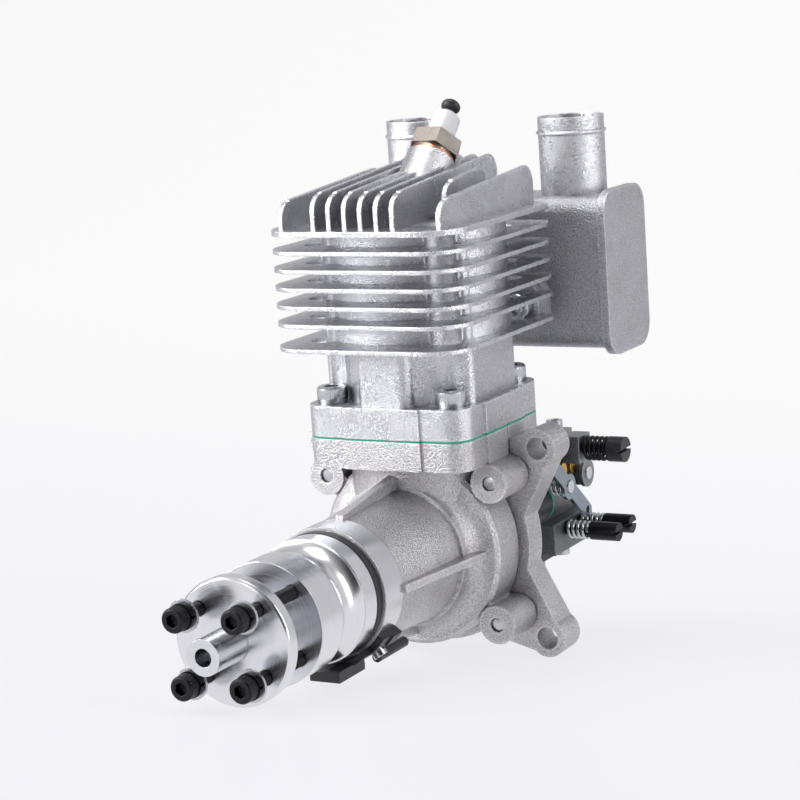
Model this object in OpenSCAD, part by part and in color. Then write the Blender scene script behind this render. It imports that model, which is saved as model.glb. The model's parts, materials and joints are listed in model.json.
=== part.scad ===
// Single-cylinder two-stroke engine for a model aircraft, with the propeller hub at the front,
// and the exhaust box and the carburettor at the rear.
// The origin is where the crank axis meets the rear faces of the four mounting lugs.
// +Y points to the rear, -Y to the propeller, +Z along the cylinder. All lengths are in millimetres.

/* [Crank train] */
// Bore of the cylinder
cylinder_bore = 39; // [36:0.5:40]
// Stroke of the piston
stroke = 28; // [24:1:28]
// Length of the connecting rod between its eyes
rod_length = 56; // [54:1:58]
// Distance of the cylinder axis ahead of the mounting faces
cylinder_ahead = 11.4; // [10.8:0.1:11.8]
// Radius of the crank web
web_radius = 24.5; // [23.5:0.5:25]
// Thickness of the crank web
web_thickness = 7.5; // [6:0.5:8]
// Radius of the main journal of the crankshaft
journal_radius = 7.5; // [7:0.25:8]
// Radius of the crankpin
crankpin_radius = 4.5; // [4:0.25:5]
// Radius of the wrist pin
wrist_pin_radius = 5; // [4.5:0.25:5.5]
// Height of the piston crown above the wrist pin
crown_height = 18; // [17:0.5:19]
// Depth of the piston skirt below the wrist pin
skirt_depth = 14; // [12:0.5:15]

/* [Propeller hub] */
// Radius of the propeller washer
prop_washer_radius = 17.7; // [16:0.1:19]
// Thickness of the propeller washer
prop_washer_thickness = 4; // [3:0.5:6]
// Gap for the propeller between washer and hub
prop_gap = 13.1; // [10:0.1:18]
// Distance of the front face of the propeller washer ahead of the mounting faces
washer_ahead = 124; // [122:0.5:130]
// Radius of the front band of the hub
hub_radius = 17.4; // [16:0.1:18]
// Length of the front band of the hub
hub_band_length = 11; // [8:0.5:13]
// Length of the round groove of the hub
hub_groove_length = 11.7; // [9:0.1:12]
// Depth of the round groove of the hub
hub_groove_depth = 3; // [2:0.25:4]
// Radius of the rear flange of the hub
hub_flange_radius = 17.9; // [17:0.1:19]
// Thickness of the rear flange of the hub
hub_flange_thickness = 6; // [4:0.25:6.5]
// Running gap between the hub and the crankcase
hub_running_gap = 3.2; // [2:0.1:4]
// Radius of the stub shaft that carries the propeller
stub_radius = 5; // [4:0.25:5.5]
// Length of the stub shaft in front of the propeller washer
stub_overhang = 13.7; // [8:0.1:18]
// Radius of the threaded hole in the stub shaft
stub_thread_radius = 2.5; // [2:0.25:3]
// Depth of the threaded hole in the stub shaft
stub_thread_depth = 16; // [10:1:20]
// Distance of each propeller bolt from the two middle planes of the hub
prop_bolt_offset = 9.1; // [8.5:0.1:10]
// Turn of the hub on the crankshaft
hub_turn = -3; // [-45:1:45]
// Radius of the propeller bolts
prop_bolt_radius = 2; // [1.5:0.25:2.25]
// Length of the propeller bolts below their heads
prop_bolt_length = 35; // [33:1:38]
// How far the propeller bolts stand off the washer
prop_bolt_standoff = 6.5; // [4:0.5:8]

/* [Crankcase] */
// Radius of the machined ring at the front of the crankcase
nose_ring_radius = 18.9; // [18.5:0.1:20]
// Length of the machined ring at the front of the crankcase
nose_ring_length = 10; // [8:0.5:12]
// Radius of the nose casting behind its ring
nose_front_radius = 18.4; // [18:0.1:18.8]
// Radius of the nose casting in front of its shoulder
nose_rear_radius = 20.4; // [20:0.1:21]
// Radius of the shoulder where the nose meets the drum
shoulder_radius = 21.6; // [21:0.1:22.5]
// Radius of the front half of the crankcase drum
drum_radius = 29; // [28.6:0.1:30]
// Radius of the rear half of the crankcase drum
rear_drum_radius = 31.6; // [31:0.1:32]
// Distance of the front face of the drum ahead of the mounting faces
drum_ahead = 25.5; // [25:0.1:26]
// Length of the mounting lugs, from the split of the crankcase to the mounting faces
lug_length = 11; // [10:0.25:11.5]
// Distance of the mounting lugs from the middle plane
lug_x = 35.8; // [35.5:0.1:38]
// Height of the upper mounting lugs above the crank axis, and depth of the lower ones below it
lug_z = 28.75; // [28.5:0.25:30]
// Radius of the mounting lugs
lug_radius = 5.8; // [5:0.1:6.5]
// Radius of the holes in the mounting lugs
lug_hole_radius = 3.3; // [2.5:0.1:3.5]
// Radius of the bosses of the crankcase bolts
case_boss_radius = 5.8; // [5:0.1:6]
// Distance of the crankcase bolts from the middle plane
case_bolt_x = 27.1; // [26.5:0.1:27.5]
// Height of the upper crankcase bolts above the crank axis
case_bolt_z = 21.1; // [21:0.1:22]
// Radius of the crankcase bolts
case_bolt_radius = 2; // [1.5:0.25:2.25]

/* [Cylinder] */
// Radius of the core between the cooling fins
core_radius = 27.2; // [26:0.1:28]
// Half width of the base flange
flange_half_width = 26.4; // [26:0.1:27]
// Distance of the base bolts from the two middle planes of the cylinder
base_bolt_offset = 19.8; // [19.6:0.1:20]
// Radius of the base bolts
base_bolt_radius = 2.5; // [2:0.25:2.75]
// Height of the top face of the crankcase above the crank axis
deck_height = 35.3; // [35:0.1:36]
// Thickness of the top flange of the crankcase
case_flange_thickness = 8.6; // [8.4:0.1:9]
// Thickness of the base flange of the cylinder
base_flange_thickness = 9.1; // [8:0.1:10]
// Width of the cooling fins
fin_width = 62.3; // [60:0.1:66]
// Length of the cooling fins
fin_length = 70; // [68:0.5:72]
// How far the middle of the cooling fins lies ahead of the cylinder axis
fin_lead = 1.7; // [1.4:0.1:2.1]
// Radius of the front corners of the cooling fins
fin_front_corner = 12; // [9:0.5:14]
// Radius of the rear corners of the cooling fins
fin_rear_corner = 7.5; // [6:0.5:10]
// Thickness of the cooling fins
fin_thickness = 1.2; // [1:0.1:1.5]
// Pitch of the cooling fins
fin_pitch = 5.26; // [5:0.02:5.4]
// Number of thin cooling fins below the top plate
fin_count = 6; // [3:1:6]
// Height of the top plate above the crank axis
top_plate_height = 95.9; // [95:0.1:98]
// Thickness of the top plate
top_plate_thickness = 1.6; // [1.4:0.1:2]
// Thickness of the upright fins of the head
head_fin_thickness = 1.4; // [1:0.1:1.8]
// Pitch of the upright fins in the middle of the head
head_fin_pitch = 5.15; // [5:0.05:5.3]
// Distance of the outer upright fins from the middle plane
outer_head_fin_x = 25.6; // [25:0.1:27]
// Lean of the spark plug to the rear
plug_lean = 46; // [44:0.5:48]

/* [Exhaust] */
// Length of the muffler box
muffler_length = 87.2; // [84:0.2:98]
// Depth of the muffler box
muffler_depth = 27.2; // [25:0.2:30]
// Height of the muffler box
muffler_height = 46.8; // [42:0.2:50]
// Height of the middle of the muffler box above the crank axis
muffler_z = 73.9; // [73:0.1:77]
// Distance of the front of the muffler box behind the mounting faces
muffler_behind = 30.4; // [30:0.1:33]
// Thickness of the walls of the muffler
muffler_wall = 1.6; // [1:0.1:2.2]
// Thickness of the end plates of the muffler
end_plate_thickness = 2.6; // [2:0.1:4]
// Radius of the two outlet pipes
pipe_radius = 10.2; // [9:0.1:11]
// Wall of the two outlet pipes
pipe_wall = 1; // [0.8:0.1:1.5]
// Height of the ends of the outlet pipes above the crank axis
pipe_top = 121; // [115:0.2:126]
// Distance of the outlet pipes from the ends of the muffler box
pipe_end_distance = 17.1; // [15:0.1:19]

/* [Carburettor] */
// Depth of the carburettor bore below the top face of the crankcase
carb_below_deck = 25.3; // [24.5:0.1:26]
// Radius of the carburettor bore
carb_bore_radius = 7.5; // [6:0.25:7.75]
// Length of the carburettor body
carb_length = 30; // [29:0.5:32]
// Distance of the right face of the carburettor body from the middle plane
carb_right = 27; // [26:0.5:28]
// Distance of the left face of the carburettor body from the middle plane
carb_left = 16; // [15:0.5:18]
// Radius of the throttle and choke shafts
throttle_shaft_radius = 2; // [1.75:0.25:2.25]
// Length of the front arm of the throttle lever
lever_front_arm = 12; // [9:0.5:13]
// Length of the rear arm of the throttle lever
lever_rear_arm = 15.5; // [13:0.5:16]
// Radius of the idle screw cap
idle_cap_radius = 3.9; // [3.5:0.1:4.2]
// Radius of the mixture screws
needle_radius = 2.9; // [2.5:0.1:3.2]

/* [Hidden] */
$fn = 64;

// Allowances
overrun = 1;
seat_gap = 0.02;
running_gap = 0.05;
bolt_clearance = 0.15;
gasket_thickness = 0.6;
open_pivot_gap = 0.3;

// Places along the crank axis, from the front to the rear
stub_tip_y = -washer_ahead - stub_overhang;
washer_rear_y = -washer_ahead + prop_washer_thickness;
hub_front_y = washer_rear_y + prop_gap;
hub_groove_y = hub_front_y + hub_band_length;
hub_flange_y = hub_groove_y + hub_groove_length;
hub_rear_y = hub_flange_y + hub_flange_thickness;
ring_front_y = hub_rear_y + hub_running_gap;
ring_rear_y = ring_front_y + nose_ring_length;
split_y = -lug_length;
cylinder_y = -cylinder_ahead;
drum_front_y = -drum_ahead;

// Crank chamber
throw = stroke / 2;
rod_width = 7;
rod_front_y = cylinder_y - rod_width / 2;
rod_rear_y = cylinder_y + rod_width / 2;
rod_side_gap = 0.6;
web_rear_y = rod_front_y - rod_side_gap;
web_front_y = web_rear_y - web_thickness;
web_side_gap = 0.8;
chamber_front_y = web_front_y - web_side_gap;
chamber_rear_y = rod_rear_y + 2 * rod_side_gap;
chamber_wall = 2.5;
chamber_radius = drum_radius - chamber_wall;
pin_head_length = rod_side_gap;

// Rear wall of the crankcase and the intake port in it
back_face_y = 2;
port_half_width = 8.8;
port_half_height = 7;
carb_z = deck_height - carb_below_deck;
port_z = carb_z;

// Main bearings
rear_bearing_outer_radius = 17;
rear_bearing_length = 10;
rear_bearing_rear_y = chamber_front_y;
rear_bearing_front_y = rear_bearing_rear_y - rear_bearing_length;
front_bearing_outer_radius = 16;
front_bearing_length = 9;
seal_length = 4;
front_bearing_front_y = ring_front_y + seal_length;
front_bearing_rear_y = front_bearing_front_y + front_bearing_length;
bearing_ring_wall = 2.2;
ball_radius_share = 0.34;
ball_count = 8;
bearing_bore_shoulder = 3;

// Cylinder
base_gasket_top = deck_height + gasket_thickness;
base_bolt_grip = 7;
flange_top = base_gasket_top + base_flange_thickness;
crown_top = throw + rod_length + crown_height;
squish_gap = 0.8;
chamber_roof = crown_top + squish_gap;
dome_radius = 13;
dome_height = 7.5;
spigot_length = 8.3;
spigot_bottom = deck_height - spigot_length;
spigot_wall = 2;
spigot_hole_radius = cylinder_bore / 2 + spigot_wall + bolt_clearance;
spigot_floor_gap = 0.6;
spigot_floor = spigot_bottom - spigot_floor_gap;
rod_room_radius = 21.5;
rear_neck_length = 12.7;
rear_neck_bottom = deck_height - rear_neck_length;
barrel_wall = 3.4;
barrel_radius = cylinder_bore / 2 + barrel_wall;
neck_radius = 22.9;
piston_radius = cylinder_bore / 2 - running_gap;
side_lobe_half = 15.5;
side_lobe_reach = 24.2;
front_lobe_half = 8.6;
front_lobe_reach = 25.2;
lobe_corner = 3;
exhaust_face_y = 20.5;
exhaust_half_width = 26;
exhaust_half_height = 8;
exhaust_z = 66.6;
exhaust_port_half_width = 13;
exhaust_port_half_height = 6;
exhaust_flange_thickness = 4;
exhaust_bolt_x = 20.5;
exhaust_bolt_radius = 2.5;
access_hole_radius = 4.9;
top_plate_top = top_plate_height + top_plate_thickness;
lowest_fin_extra = 1.9;
lowest_fin_z = top_plate_height - fin_count * fin_pitch - lowest_fin_extra;
plug_core_rise = 2.7;
plug_core_z = top_plate_height + plug_core_rise;
plug_seat_reach = 19.2;
plug_boss_radius = 7.6;

// Heads of socket screws, as shares of the thread radius
head_radius_share = 1.72;
head_height_share = 2;
socket_radius_share = 0.95;
socket_depth_share = 1.1;
socket_sides = 6;

// Hub and its propeller bolts
lock_washer_thickness = 1.2;
flat_washer_thickness = 0.8;
flat_washer_radius = 4.5;
lock_washer_radius = 3.7;
flat_washer_front_y = -washer_ahead - prop_bolt_standoff;
lock_washer_front_y = flat_washer_front_y - flat_washer_thickness;
prop_head_rear_y = lock_washer_front_y - lock_washer_thickness;
hub_tapped_depth = prop_head_rear_y + prop_bolt_length - hub_front_y;
neck_hub_radius = 12;
magnet_radius = 2.5;
magnet_depth = 3;
magnet_orbit = 14.4;
key_width = 3;
key_height = 3.2;
key_length = 12;
prop_washer_chamfer = 0.6;

// Sensor under the nose
sensor_front_gap = 0.2;
sensor_wall = 2.1;
sensor_inner_radius = nose_ring_radius + sensor_front_gap;
sensor_outer_radius = nose_ring_radius + sensor_wall;
sensor_screw_radius = 1.25;
sensor_screw_inset = 0.8;
sensor_screw_seat = sensor_outer_radius - sensor_screw_inset;
sensor_screw_turns = [-14, -36];
sensor_block_width = 9.5;
sensor_block_lead = 12;
sensor_block_tail = 2;
sensor_block_proud = 0.6;
sensor_block_root = 0.7;
sensor_arc_lead = 4.5;
sensor_end_length = 5;
sensor_end_proud = 0.6;
sensor_boot_radius = 1.5;
sensor_boot_root = 3;
sensor_boot_length = 13;
sensor_boot_proud = 1.3;
sensor_boot_turn = 28.4;
sensor_nose_gap = 0.4;

// Muffler and outlet pipes
muffler_front_y = muffler_behind;
muffler_middle_y = muffler_front_y + muffler_depth / 2;
pipe_x = muffler_length / 2 - pipe_end_distance;
pipe_set_back = 1.5;
pipe_y = muffler_middle_y + pipe_set_back;
muffler_corner = 5.5;
muffler_flange_front_y = exhaust_face_y + gasket_thickness;
end_plate_lip = 1.8;
pipe_bead_drop = 4.8;
pipe_bead_size = 0.6;
pipe_depth = 6;

// Intake stack behind the crankcase
plate_front_y = back_face_y + gasket_thickness;
reed_plate_thickness = 4;
reed_rear_y = plate_front_y + reed_plate_thickness;
insulator_thickness = 8.4;
insulator_rear_y = reed_rear_y + insulator_thickness;
carb_front_y = insulator_rear_y + gasket_thickness;
carb_rear_y = carb_front_y + carb_length;
intake_half_width = 21;
intake_half_height = 12;
intake_corner = 4;
ear_x = 22;
ear_below_bore = 4.2;
ear_z = carb_z - ear_below_bore;
ear_radius = 6;
ear_hole_radius = 4.6;
carb_bolt_x = 12.5;
carb_bolt_drop = 6.5;
carb_bolt_radius = 2.5;
reed_thickness = 0.3;

// Carburettor body and what it carries
carb_below_bore = 21.2;
carb_above_bore = 10;
carb_bottom = carb_z - carb_below_bore;
carb_top = carb_z + carb_above_bore;
carb_shoulder = 5.4;
carb_upper_right = carb_right - carb_shoulder;
carb_step_drop = 11.6;
carb_step_z = carb_z - carb_step_drop;
cover_thickness = 3.2;
metering_thickness = 2.8;
throttle_inset = 5;
choke_inset = 6;
throttle_y = carb_front_y + throttle_inset;
choke_y = carb_rear_y - choke_inset;
disc_thickness = 1;
disc_inset = 1;
throttle_lever_standoff = 3;
choke_lever_standoff = 0.5;
throttle_lever_x = carb_right + throttle_lever_standoff;
choke_lever_x = carb_right + choke_lever_standoff;
lever_thickness = 1.3;
lever_tilt = -40;
shaft_end_reach = 2;
shaft_tip = 0.4;
idle_y = 30;
idle_above_bore = 10.2;
idle_z = carb_z + idle_above_bore;
idle_block_width = 5.5;
idle_block_half = 4.2;
idle_bracket_reach = 7;
idle_spring_length = 8.5;
idle_cap_length = 5.2;
needles_below_bore = 14.8;
needle_z = carb_z - needles_below_bore;
low_needle_y = 26;
high_needle_y = 36.5;
needle_spring_length = 8.4;
needle_cap_length = 9;
needle_shank_radius = 1.6;
needle_shank_depth = 9;
spring_wire = 0.6;
spring_turns = 4.5;
throttle_spring_turns = 5;
throttle_spring_radius = 2.9;
throttle_spring_wire = 0.32;
coil_sides = 8;
rings_per_turn = 14;
cover_screw_radius = 1.5;
cover_screw_inset = 4;
cover_screw_front = 7;
cover_screw_rear = 5;
fitting_radius = 2.4;
fitting_length = 5;
fitting_inset = 11;
fitting_pitch = 7;
fitting_drop = 6.5;

// A cylinder along Y between two places
module rod_y(radius, from, to) {
    translate([0, from, 0]) rotate([-90, 0, 0]) cylinder(r = radius, h = to - from);
}
// A cone along Y between two places
module cone_y(radius_from, radius_to, from, to) {
    translate([0, from, 0]) rotate([-90, 0, 0]) cylinder(r1 = radius_from, r2 = radius_to, h = to - from);
}
// A ring along Y between two places
module tube_y(outer, inner, from, to) {
    difference() {
        rod_y(outer, from, to);
        rod_y(inner, from - overrun, to + overrun);
    }
}
// A cylinder along X between two places
module rod_x(radius, from, to) {
    translate([from, 0, 0]) rotate([0, 90, 0]) cylinder(r = radius, h = to - from);
}
// A cylinder along Z between two heights
module rod_z(radius, from, to) {
    translate([0, 0, from]) cylinder(r = radius, h = to - from);
}
// An upright outline in the XZ plane, extruded along Y between two places
module slab_y(from, to) {
    translate([0, to, 0]) rotate([90, 0, 0]) linear_extrude(to - from) children();
}
// A rectangle with round corners about the origin
module round_rect(half_x, half_y, corner) {
    square([2 * half_x, 2 * (half_y - corner)], center = true);
    square([2 * (half_x - corner), 2 * half_y], center = true);
    for (sx = [-1, 1], sy = [-1, 1])
        translate([sx * (half_x - corner), sy * (half_y - corner)]) circle(r = corner);
}
// The four corners of a rectangle
module corners(dx, dy) {
    for (sx = [-1, 1], sy = [-1, 1]) translate([sx * dx, sy * dy]) children();
}
// The same four corners on an upright face
module upright_corners(dx, dz) {
    for (sx = [-1, 1], sz = [-1, 1]) translate([sx * dx, 0, sz * dz]) children();
}
// A socket head screw that points down from the underside of its head at the origin
module socket_screw(radius, length) {
    head = radius * head_height_share;
    socket = radius * socket_depth_share;
    difference() {
        union() {
            rod_z(radius * head_radius_share, 0, head);
            rod_z(radius, -length, overrun);
        }
        translate([0, 0, head - socket])
            cylinder(r = radius * socket_radius_share, h = socket + overrun, $fn = socket_sides);
    }
}
// A coil of round wire along Z, from the origin up
module coil(radius, wire, height, turns) {
    rings = ceil(turns * rings_per_turn);
    points = [for (i = [0 : rings], k = [0 : coil_sides - 1])
        let (turn = 360 * turns * i / rings, side = 360 * k / coil_sides, reach = radius + wire * cos(side))
        [reach * cos(turn), reach * sin(turn), wire + (height - 2 * wire) * i / rings + wire * sin(side)]];
    sides = [for (i = [0 : rings - 1], k = [0 : coil_sides - 1])
        let (a = i * coil_sides + k, b = i * coil_sides + (k + 1) % coil_sides)
        [a, a + coil_sides, b + coil_sides, b]];
    start = [for (k = [0 : coil_sides - 1]) k];
    finish = [for (k = [coil_sides - 1 : -1 : 0]) rings * coil_sides + k];
    polyhedron(points = points, faces = concat(sides, [start, finish]));
}

// Crank train

module crankshaft() {
    web_cut_share = 0.62;
    color("lightgray") difference() {
        union() {
            rod_y(web_radius, web_front_y, web_rear_y);
            rod_y(journal_radius - seat_gap, hub_groove_y, web_front_y + overrun);
            rod_y(stub_radius, stub_tip_y, hub_groove_y + overrun);
        }
        // Relief on both sides of the crankpin, which leaves the counterweight below
        for (side = [-1, 1])
            translate([side * web_radius, (web_front_y + web_rear_y) / 2, web_radius * web_cut_share])
                rotate([-90, 0, 0])
                    cylinder(r = web_radius * web_cut_share, h = web_thickness + 2 * overrun, center = true);
        translate([0, 0, throw]) rod_y(crankpin_radius, web_front_y - overrun, web_rear_y + overrun);
        rod_y(stub_thread_radius, stub_tip_y - overrun, stub_tip_y + stub_thread_depth);
        // Seat of the key in the journal
        translate([-key_width / 2, hub_flange_y - key_length, journal_radius - key_height / 2])
            cube([key_width, key_length, key_height]);
    }
}

// The crankpin stays with the rod. In its web it is shown drawn back by the open pivot's gap.
module crankpin() {
    color("silver") translate([0, 0, throw]) {
        rod_y(crankpin_radius, web_rear_y + open_pivot_gap, rod_rear_y + pin_head_length);
    }
}

big_eye_radius = 7;
big_bearing_outer = 5.8;
small_eye_radius = 8;
small_bearing_outer = 6.5;
rod_shank_half = 4.5;
rod_shank_thickness = 5;
wrist_z = throw + rod_length;

module big_end_bearing() {
    color("goldenrod") translate([0, 0, throw])
        tube_y(big_bearing_outer, crankpin_radius + running_gap, rod_front_y, rod_rear_y);
}

module connecting_rod() {
    color("slategray") difference() {
        union() {
            translate([0, 0, throw]) rod_y(big_eye_radius, rod_front_y, rod_rear_y);
            translate([0, 0, wrist_z]) rod_y(small_eye_radius, rod_front_y, rod_rear_y);
            translate([-rod_shank_half, cylinder_y - rod_shank_thickness / 2, throw])
                cube([2 * rod_shank_half, rod_shank_thickness, rod_length]);
        }
        translate([0, 0, throw])
            rod_y(big_bearing_outer + seat_gap, rod_front_y - overrun, rod_rear_y + overrun);
        translate([0, 0, wrist_z])
            rod_y(small_bearing_outer + seat_gap, rod_front_y - overrun, rod_rear_y + overrun);
    }
}

module small_end_bearing() {
    color("goldenrod") translate([0, 0, wrist_z])
        tube_y(small_bearing_outer, wrist_pin_radius + running_gap, rod_front_y, rod_rear_y);
}

pin_end_gap = 3.5;
pin_length = 2 * (piston_radius - pin_end_gap);
clip_thickness = 1;
pin_bore_share = 0.55;

module wrist_pin() {
    color("silver") translate([0, cylinder_y, wrist_z])
        tube_y(wrist_pin_radius, wrist_pin_radius * pin_bore_share, -pin_length / 2, pin_length / 2);
}

module wrist_pin_clips() {
    clip_wall = 1.2;
    color("dimgray") for (end = [-1, 1])
        translate([0, cylinder_y + end * (pin_length + clip_thickness + 2 * seat_gap) / 2, wrist_z])
            tube_y(wrist_pin_radius, wrist_pin_radius - clip_wall, -clip_thickness / 2, clip_thickness / 2);
}

ring_height = 1.2;
ring_depth = 1.6;
ring_drops = [3, 7];
crown_thickness = 5;
skirt_wall = 2.6;
rod_slot_half = rod_width / 2 + rod_side_gap;

module piston() {
    color("gainsboro") translate([0, cylinder_y, 0]) difference() {
        rod_z(piston_radius, wrist_z - skirt_depth, crown_top);
        // Hollow skirt, open below
        rod_z(piston_radius - skirt_wall, wrist_z - skirt_depth - overrun, wrist_z - small_eye_radius);
        // Slot between the pin bosses for the rod
        translate([-piston_radius + skirt_wall, -rod_slot_half, wrist_z - skirt_depth - overrun])
            cube([2 * (piston_radius - skirt_wall), 2 * rod_slot_half,
                  crown_height + skirt_depth - crown_thickness + overrun]);
        translate([0, 0, wrist_z])
            rod_y(wrist_pin_radius + seat_gap, -piston_radius - overrun, piston_radius + overrun);
        for (drop = ring_drops) translate([0, 0, crown_top - drop - ring_height - seat_gap]) difference() {
            cylinder(r = piston_radius + overrun, h = ring_height + 2 * seat_gap);
            translate([0, 0, -overrun])
                cylinder(r = piston_radius - ring_depth, h = ring_height + 2 * overrun);
        }
    }
}

module piston_rings() {
    ring_split = 0.6;
    color("dimgray") translate([0, cylinder_y, 0]) for (drop = ring_drops)
        translate([0, 0, crown_top - drop - ring_height]) difference() {
            cylinder(r = cylinder_bore / 2 - seat_gap, h = ring_height);
            translate([0, 0, -overrun])
                cylinder(r = piston_radius - ring_depth + seat_gap, h = ring_height + 2 * overrun);
            translate([0, -ring_split / 2, -overrun])
                cube([cylinder_bore, ring_split, ring_height + 2 * overrun]);
        }
}

// Main bearings, each as two rings with balls between them

module for_each_bearing() {
    translate([0, rear_bearing_front_y, 0]) rotate([-90, 0, 0]) {
        $outer = rear_bearing_outer_radius;
        $length = rear_bearing_length;
        children();
    }
    translate([0, front_bearing_front_y, 0]) rotate([-90, 0, 0]) {
        $outer = front_bearing_outer_radius;
        $length = front_bearing_length;
        children();
    }
}
function ball_path(outer) = (outer + journal_radius) / 2;
function ball_size(outer) = (outer - journal_radius) * ball_radius_share;

module ball_track() {
    rotate_extrude() translate([ball_path($outer), $length / 2]) circle(r = ball_size($outer) + running_gap);
}

module bearing_outer_rings() {
    color("silver") for_each_bearing() difference() {
        rod_z($outer - seat_gap, 0, $length);
        rod_z($outer - bearing_ring_wall, -overrun, $length + overrun);
        ball_track();
    }
}

module bearing_inner_rings() {
    color("silver") for_each_bearing() difference() {
        rod_z(journal_radius + bearing_ring_wall, 0, $length);
        rod_z(journal_radius, -overrun, $length + overrun);
        ball_track();
    }
}

module bearing_balls() {
    color("white") for_each_bearing() for (k = [0 : ball_count - 1])
        rotate([0, 0, 360 * k / ball_count]) translate([ball_path($outer), 0, $length / 2])
            sphere(r = ball_size($outer));
}

module shaft_seal() {
    color("black") tube_y(front_bearing_outer_radius - bearing_bore_shoulder - seat_gap,
                          journal_radius + running_gap, ring_front_y, front_bearing_front_y - running_gap);
}

// Hub, propeller washer and their bolts

module place_prop_bolts() {
    rotate([0, hub_turn, 0]) upright_corners(prop_bolt_offset, prop_bolt_offset) children();
}

module drive_hub() {
    neck_rear_y = front_bearing_front_y - running_gap;
    groove_radius = (pow(hub_groove_length / 2, 2) + pow(hub_groove_depth, 2)) / (2 * hub_groove_depth);
    groove_center = hub_radius - hub_groove_depth + groove_radius;
    color("whitesmoke") difference() {
        union() {
            rod_y(hub_radius, hub_front_y, hub_groove_y + overrun);
            rod_y(hub_radius, hub_groove_y, hub_flange_y + overrun);
            rod_y(hub_flange_radius, hub_flange_y, hub_rear_y);
            rod_y(neck_hub_radius, hub_rear_y - overrun, ring_front_y - running_gap - overrun / 2);
        }
        // Round groove in the middle
        translate([0, (hub_groove_y + hub_flange_y) / 2, 0]) rotate([-90, 0, 0]) rotate_extrude()
            translate([groove_center, 0]) intersection() {
                circle(r = groove_radius);
                translate([-groove_radius, -hub_groove_length / 2])
                    square([2 * groove_radius, hub_groove_length]);
            }
        rod_y(stub_radius + seat_gap, hub_front_y - overrun, hub_groove_y + overrun);
        rod_y(journal_radius, hub_groove_y, neck_rear_y + overrun);
        place_prop_bolts() rod_y(prop_bolt_radius + bolt_clearance, hub_front_y - overrun,
                                 hub_front_y + hub_tapped_depth + overrun);
        translate([-key_width / 2 - seat_gap, hub_flange_y - key_length - seat_gap, 0])
            cube([key_width + 2 * seat_gap, key_length + 2 * seat_gap,
                  journal_radius + key_height / 2 + seat_gap]);
        rotate([0, hub_turn, 0]) translate([0, 0, -magnet_orbit])
            rod_y(magnet_radius + seat_gap, hub_rear_y - magnet_depth, hub_rear_y + overrun);
    }
}

module hub_key() {
    color("dimgray") translate([-key_width / 2 + seat_gap, hub_flange_y - key_length + seat_gap,
                                journal_radius - key_height / 2 + seat_gap])
        cube([key_width - 2 * seat_gap, key_length - 2 * seat_gap, key_height - 2 * seat_gap]);
}

module hub_magnet() {
    color("gray") rotate([0, hub_turn, 0]) translate([0, 0, -magnet_orbit])
        rod_y(magnet_radius, hub_rear_y - magnet_depth + seat_gap, hub_rear_y);
}

module prop_washer() {
    color("white") difference() {
        union() {
            cone_y(prop_washer_radius - prop_washer_chamfer, prop_washer_radius, -washer_ahead,
                   -washer_ahead + prop_washer_chamfer);
            rod_y(prop_washer_radius, -washer_ahead + prop_washer_chamfer, washer_rear_y);
        }
        rod_y(stub_radius + running_gap, -washer_ahead - overrun, washer_rear_y + overrun);
        place_prop_bolts()
            rod_y(prop_bolt_radius + bolt_clearance, -washer_ahead - overrun, washer_rear_y + overrun);
    }
}

module prop_bolts() {
    color([0.1, 0.1, 0.1]) place_prop_bolts() translate([0, prop_head_rear_y, 0]) rotate([90, 0, 0])
        socket_screw(prop_bolt_radius, prop_bolt_length);
}

module prop_lock_washers() {
    washer_split = 0.8;
    color([0.15, 0.15, 0.15]) place_prop_bolts() difference() {
        tube_y(lock_washer_radius, prop_bolt_radius + seat_gap, lock_washer_front_y - lock_washer_thickness,
               lock_washer_front_y);
        translate([0, lock_washer_front_y - lock_washer_thickness - overrun, -washer_split / 2])
            cube([lock_washer_radius + overrun, lock_washer_thickness + 2 * overrun, washer_split]);
    }
}

module prop_flat_washers() {
    color("silver") place_prop_bolts()
        tube_y(flat_washer_radius, prop_bolt_radius + seat_gap, lock_washer_front_y, flat_washer_front_y);
}

// Crankcase

// Plan of the joint between crankcase and cylinder: four lobes about the bolts and four bulged sides
module flange_plan() {
    lobe_radius = flange_half_width - base_bolt_offset;
    bulge = 0.6;
    bulge_half = 12.5;
    round_rect(flange_half_width, flange_half_width, lobe_radius);
    for (turn = [0, 90]) rotate(turn) square([2 * (flange_half_width + bulge), 2 * bulge_half], center = true);
}

module flange_block(from, to) {
    translate([0, cylinder_y, from]) linear_extrude(to - from) flange_plan();
}

// Half section of the nose and the drum about the crank axis: radius, then place along the axis
module nose_profile() {
    nose_end_y = drum_front_y - shoulder_length - flare_length;
    drum_rear_y = split_y - drum_edge;
    polygon([[0, ring_front_y], [nose_ring_radius, ring_front_y], [nose_ring_radius, ring_rear_y],
             [nose_front_radius, ring_rear_y], [nose_rear_radius, nose_end_y], [shoulder_radius, nose_end_y],
             [shoulder_radius, drum_front_y], [drum_radius - drum_edge, drum_front_y],
             [drum_radius, drum_front_y + drum_edge], [drum_radius, drum_rear_y],
             [drum_radius - drum_edge, drum_rear_y], [drum_radius - drum_edge, split_y], [0, split_y]]);
    // Round flare from the shoulder to the face of the drum
    difference() {
        translate([shoulder_radius - overrun, drum_front_y - flare_length])
            square([flare_length + overrun, flare_length + overrun]);
        translate([shoulder_radius + flare_length, drum_front_y - flare_length]) circle(r = flare_length);
    }
}
shoulder_length = 2.2;
flare_length = 5.5;
drum_edge = 1.2;
rib_half = 1.2;
rib_start_radius = 19.9;
rib_end_radius = 25.4;

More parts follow.
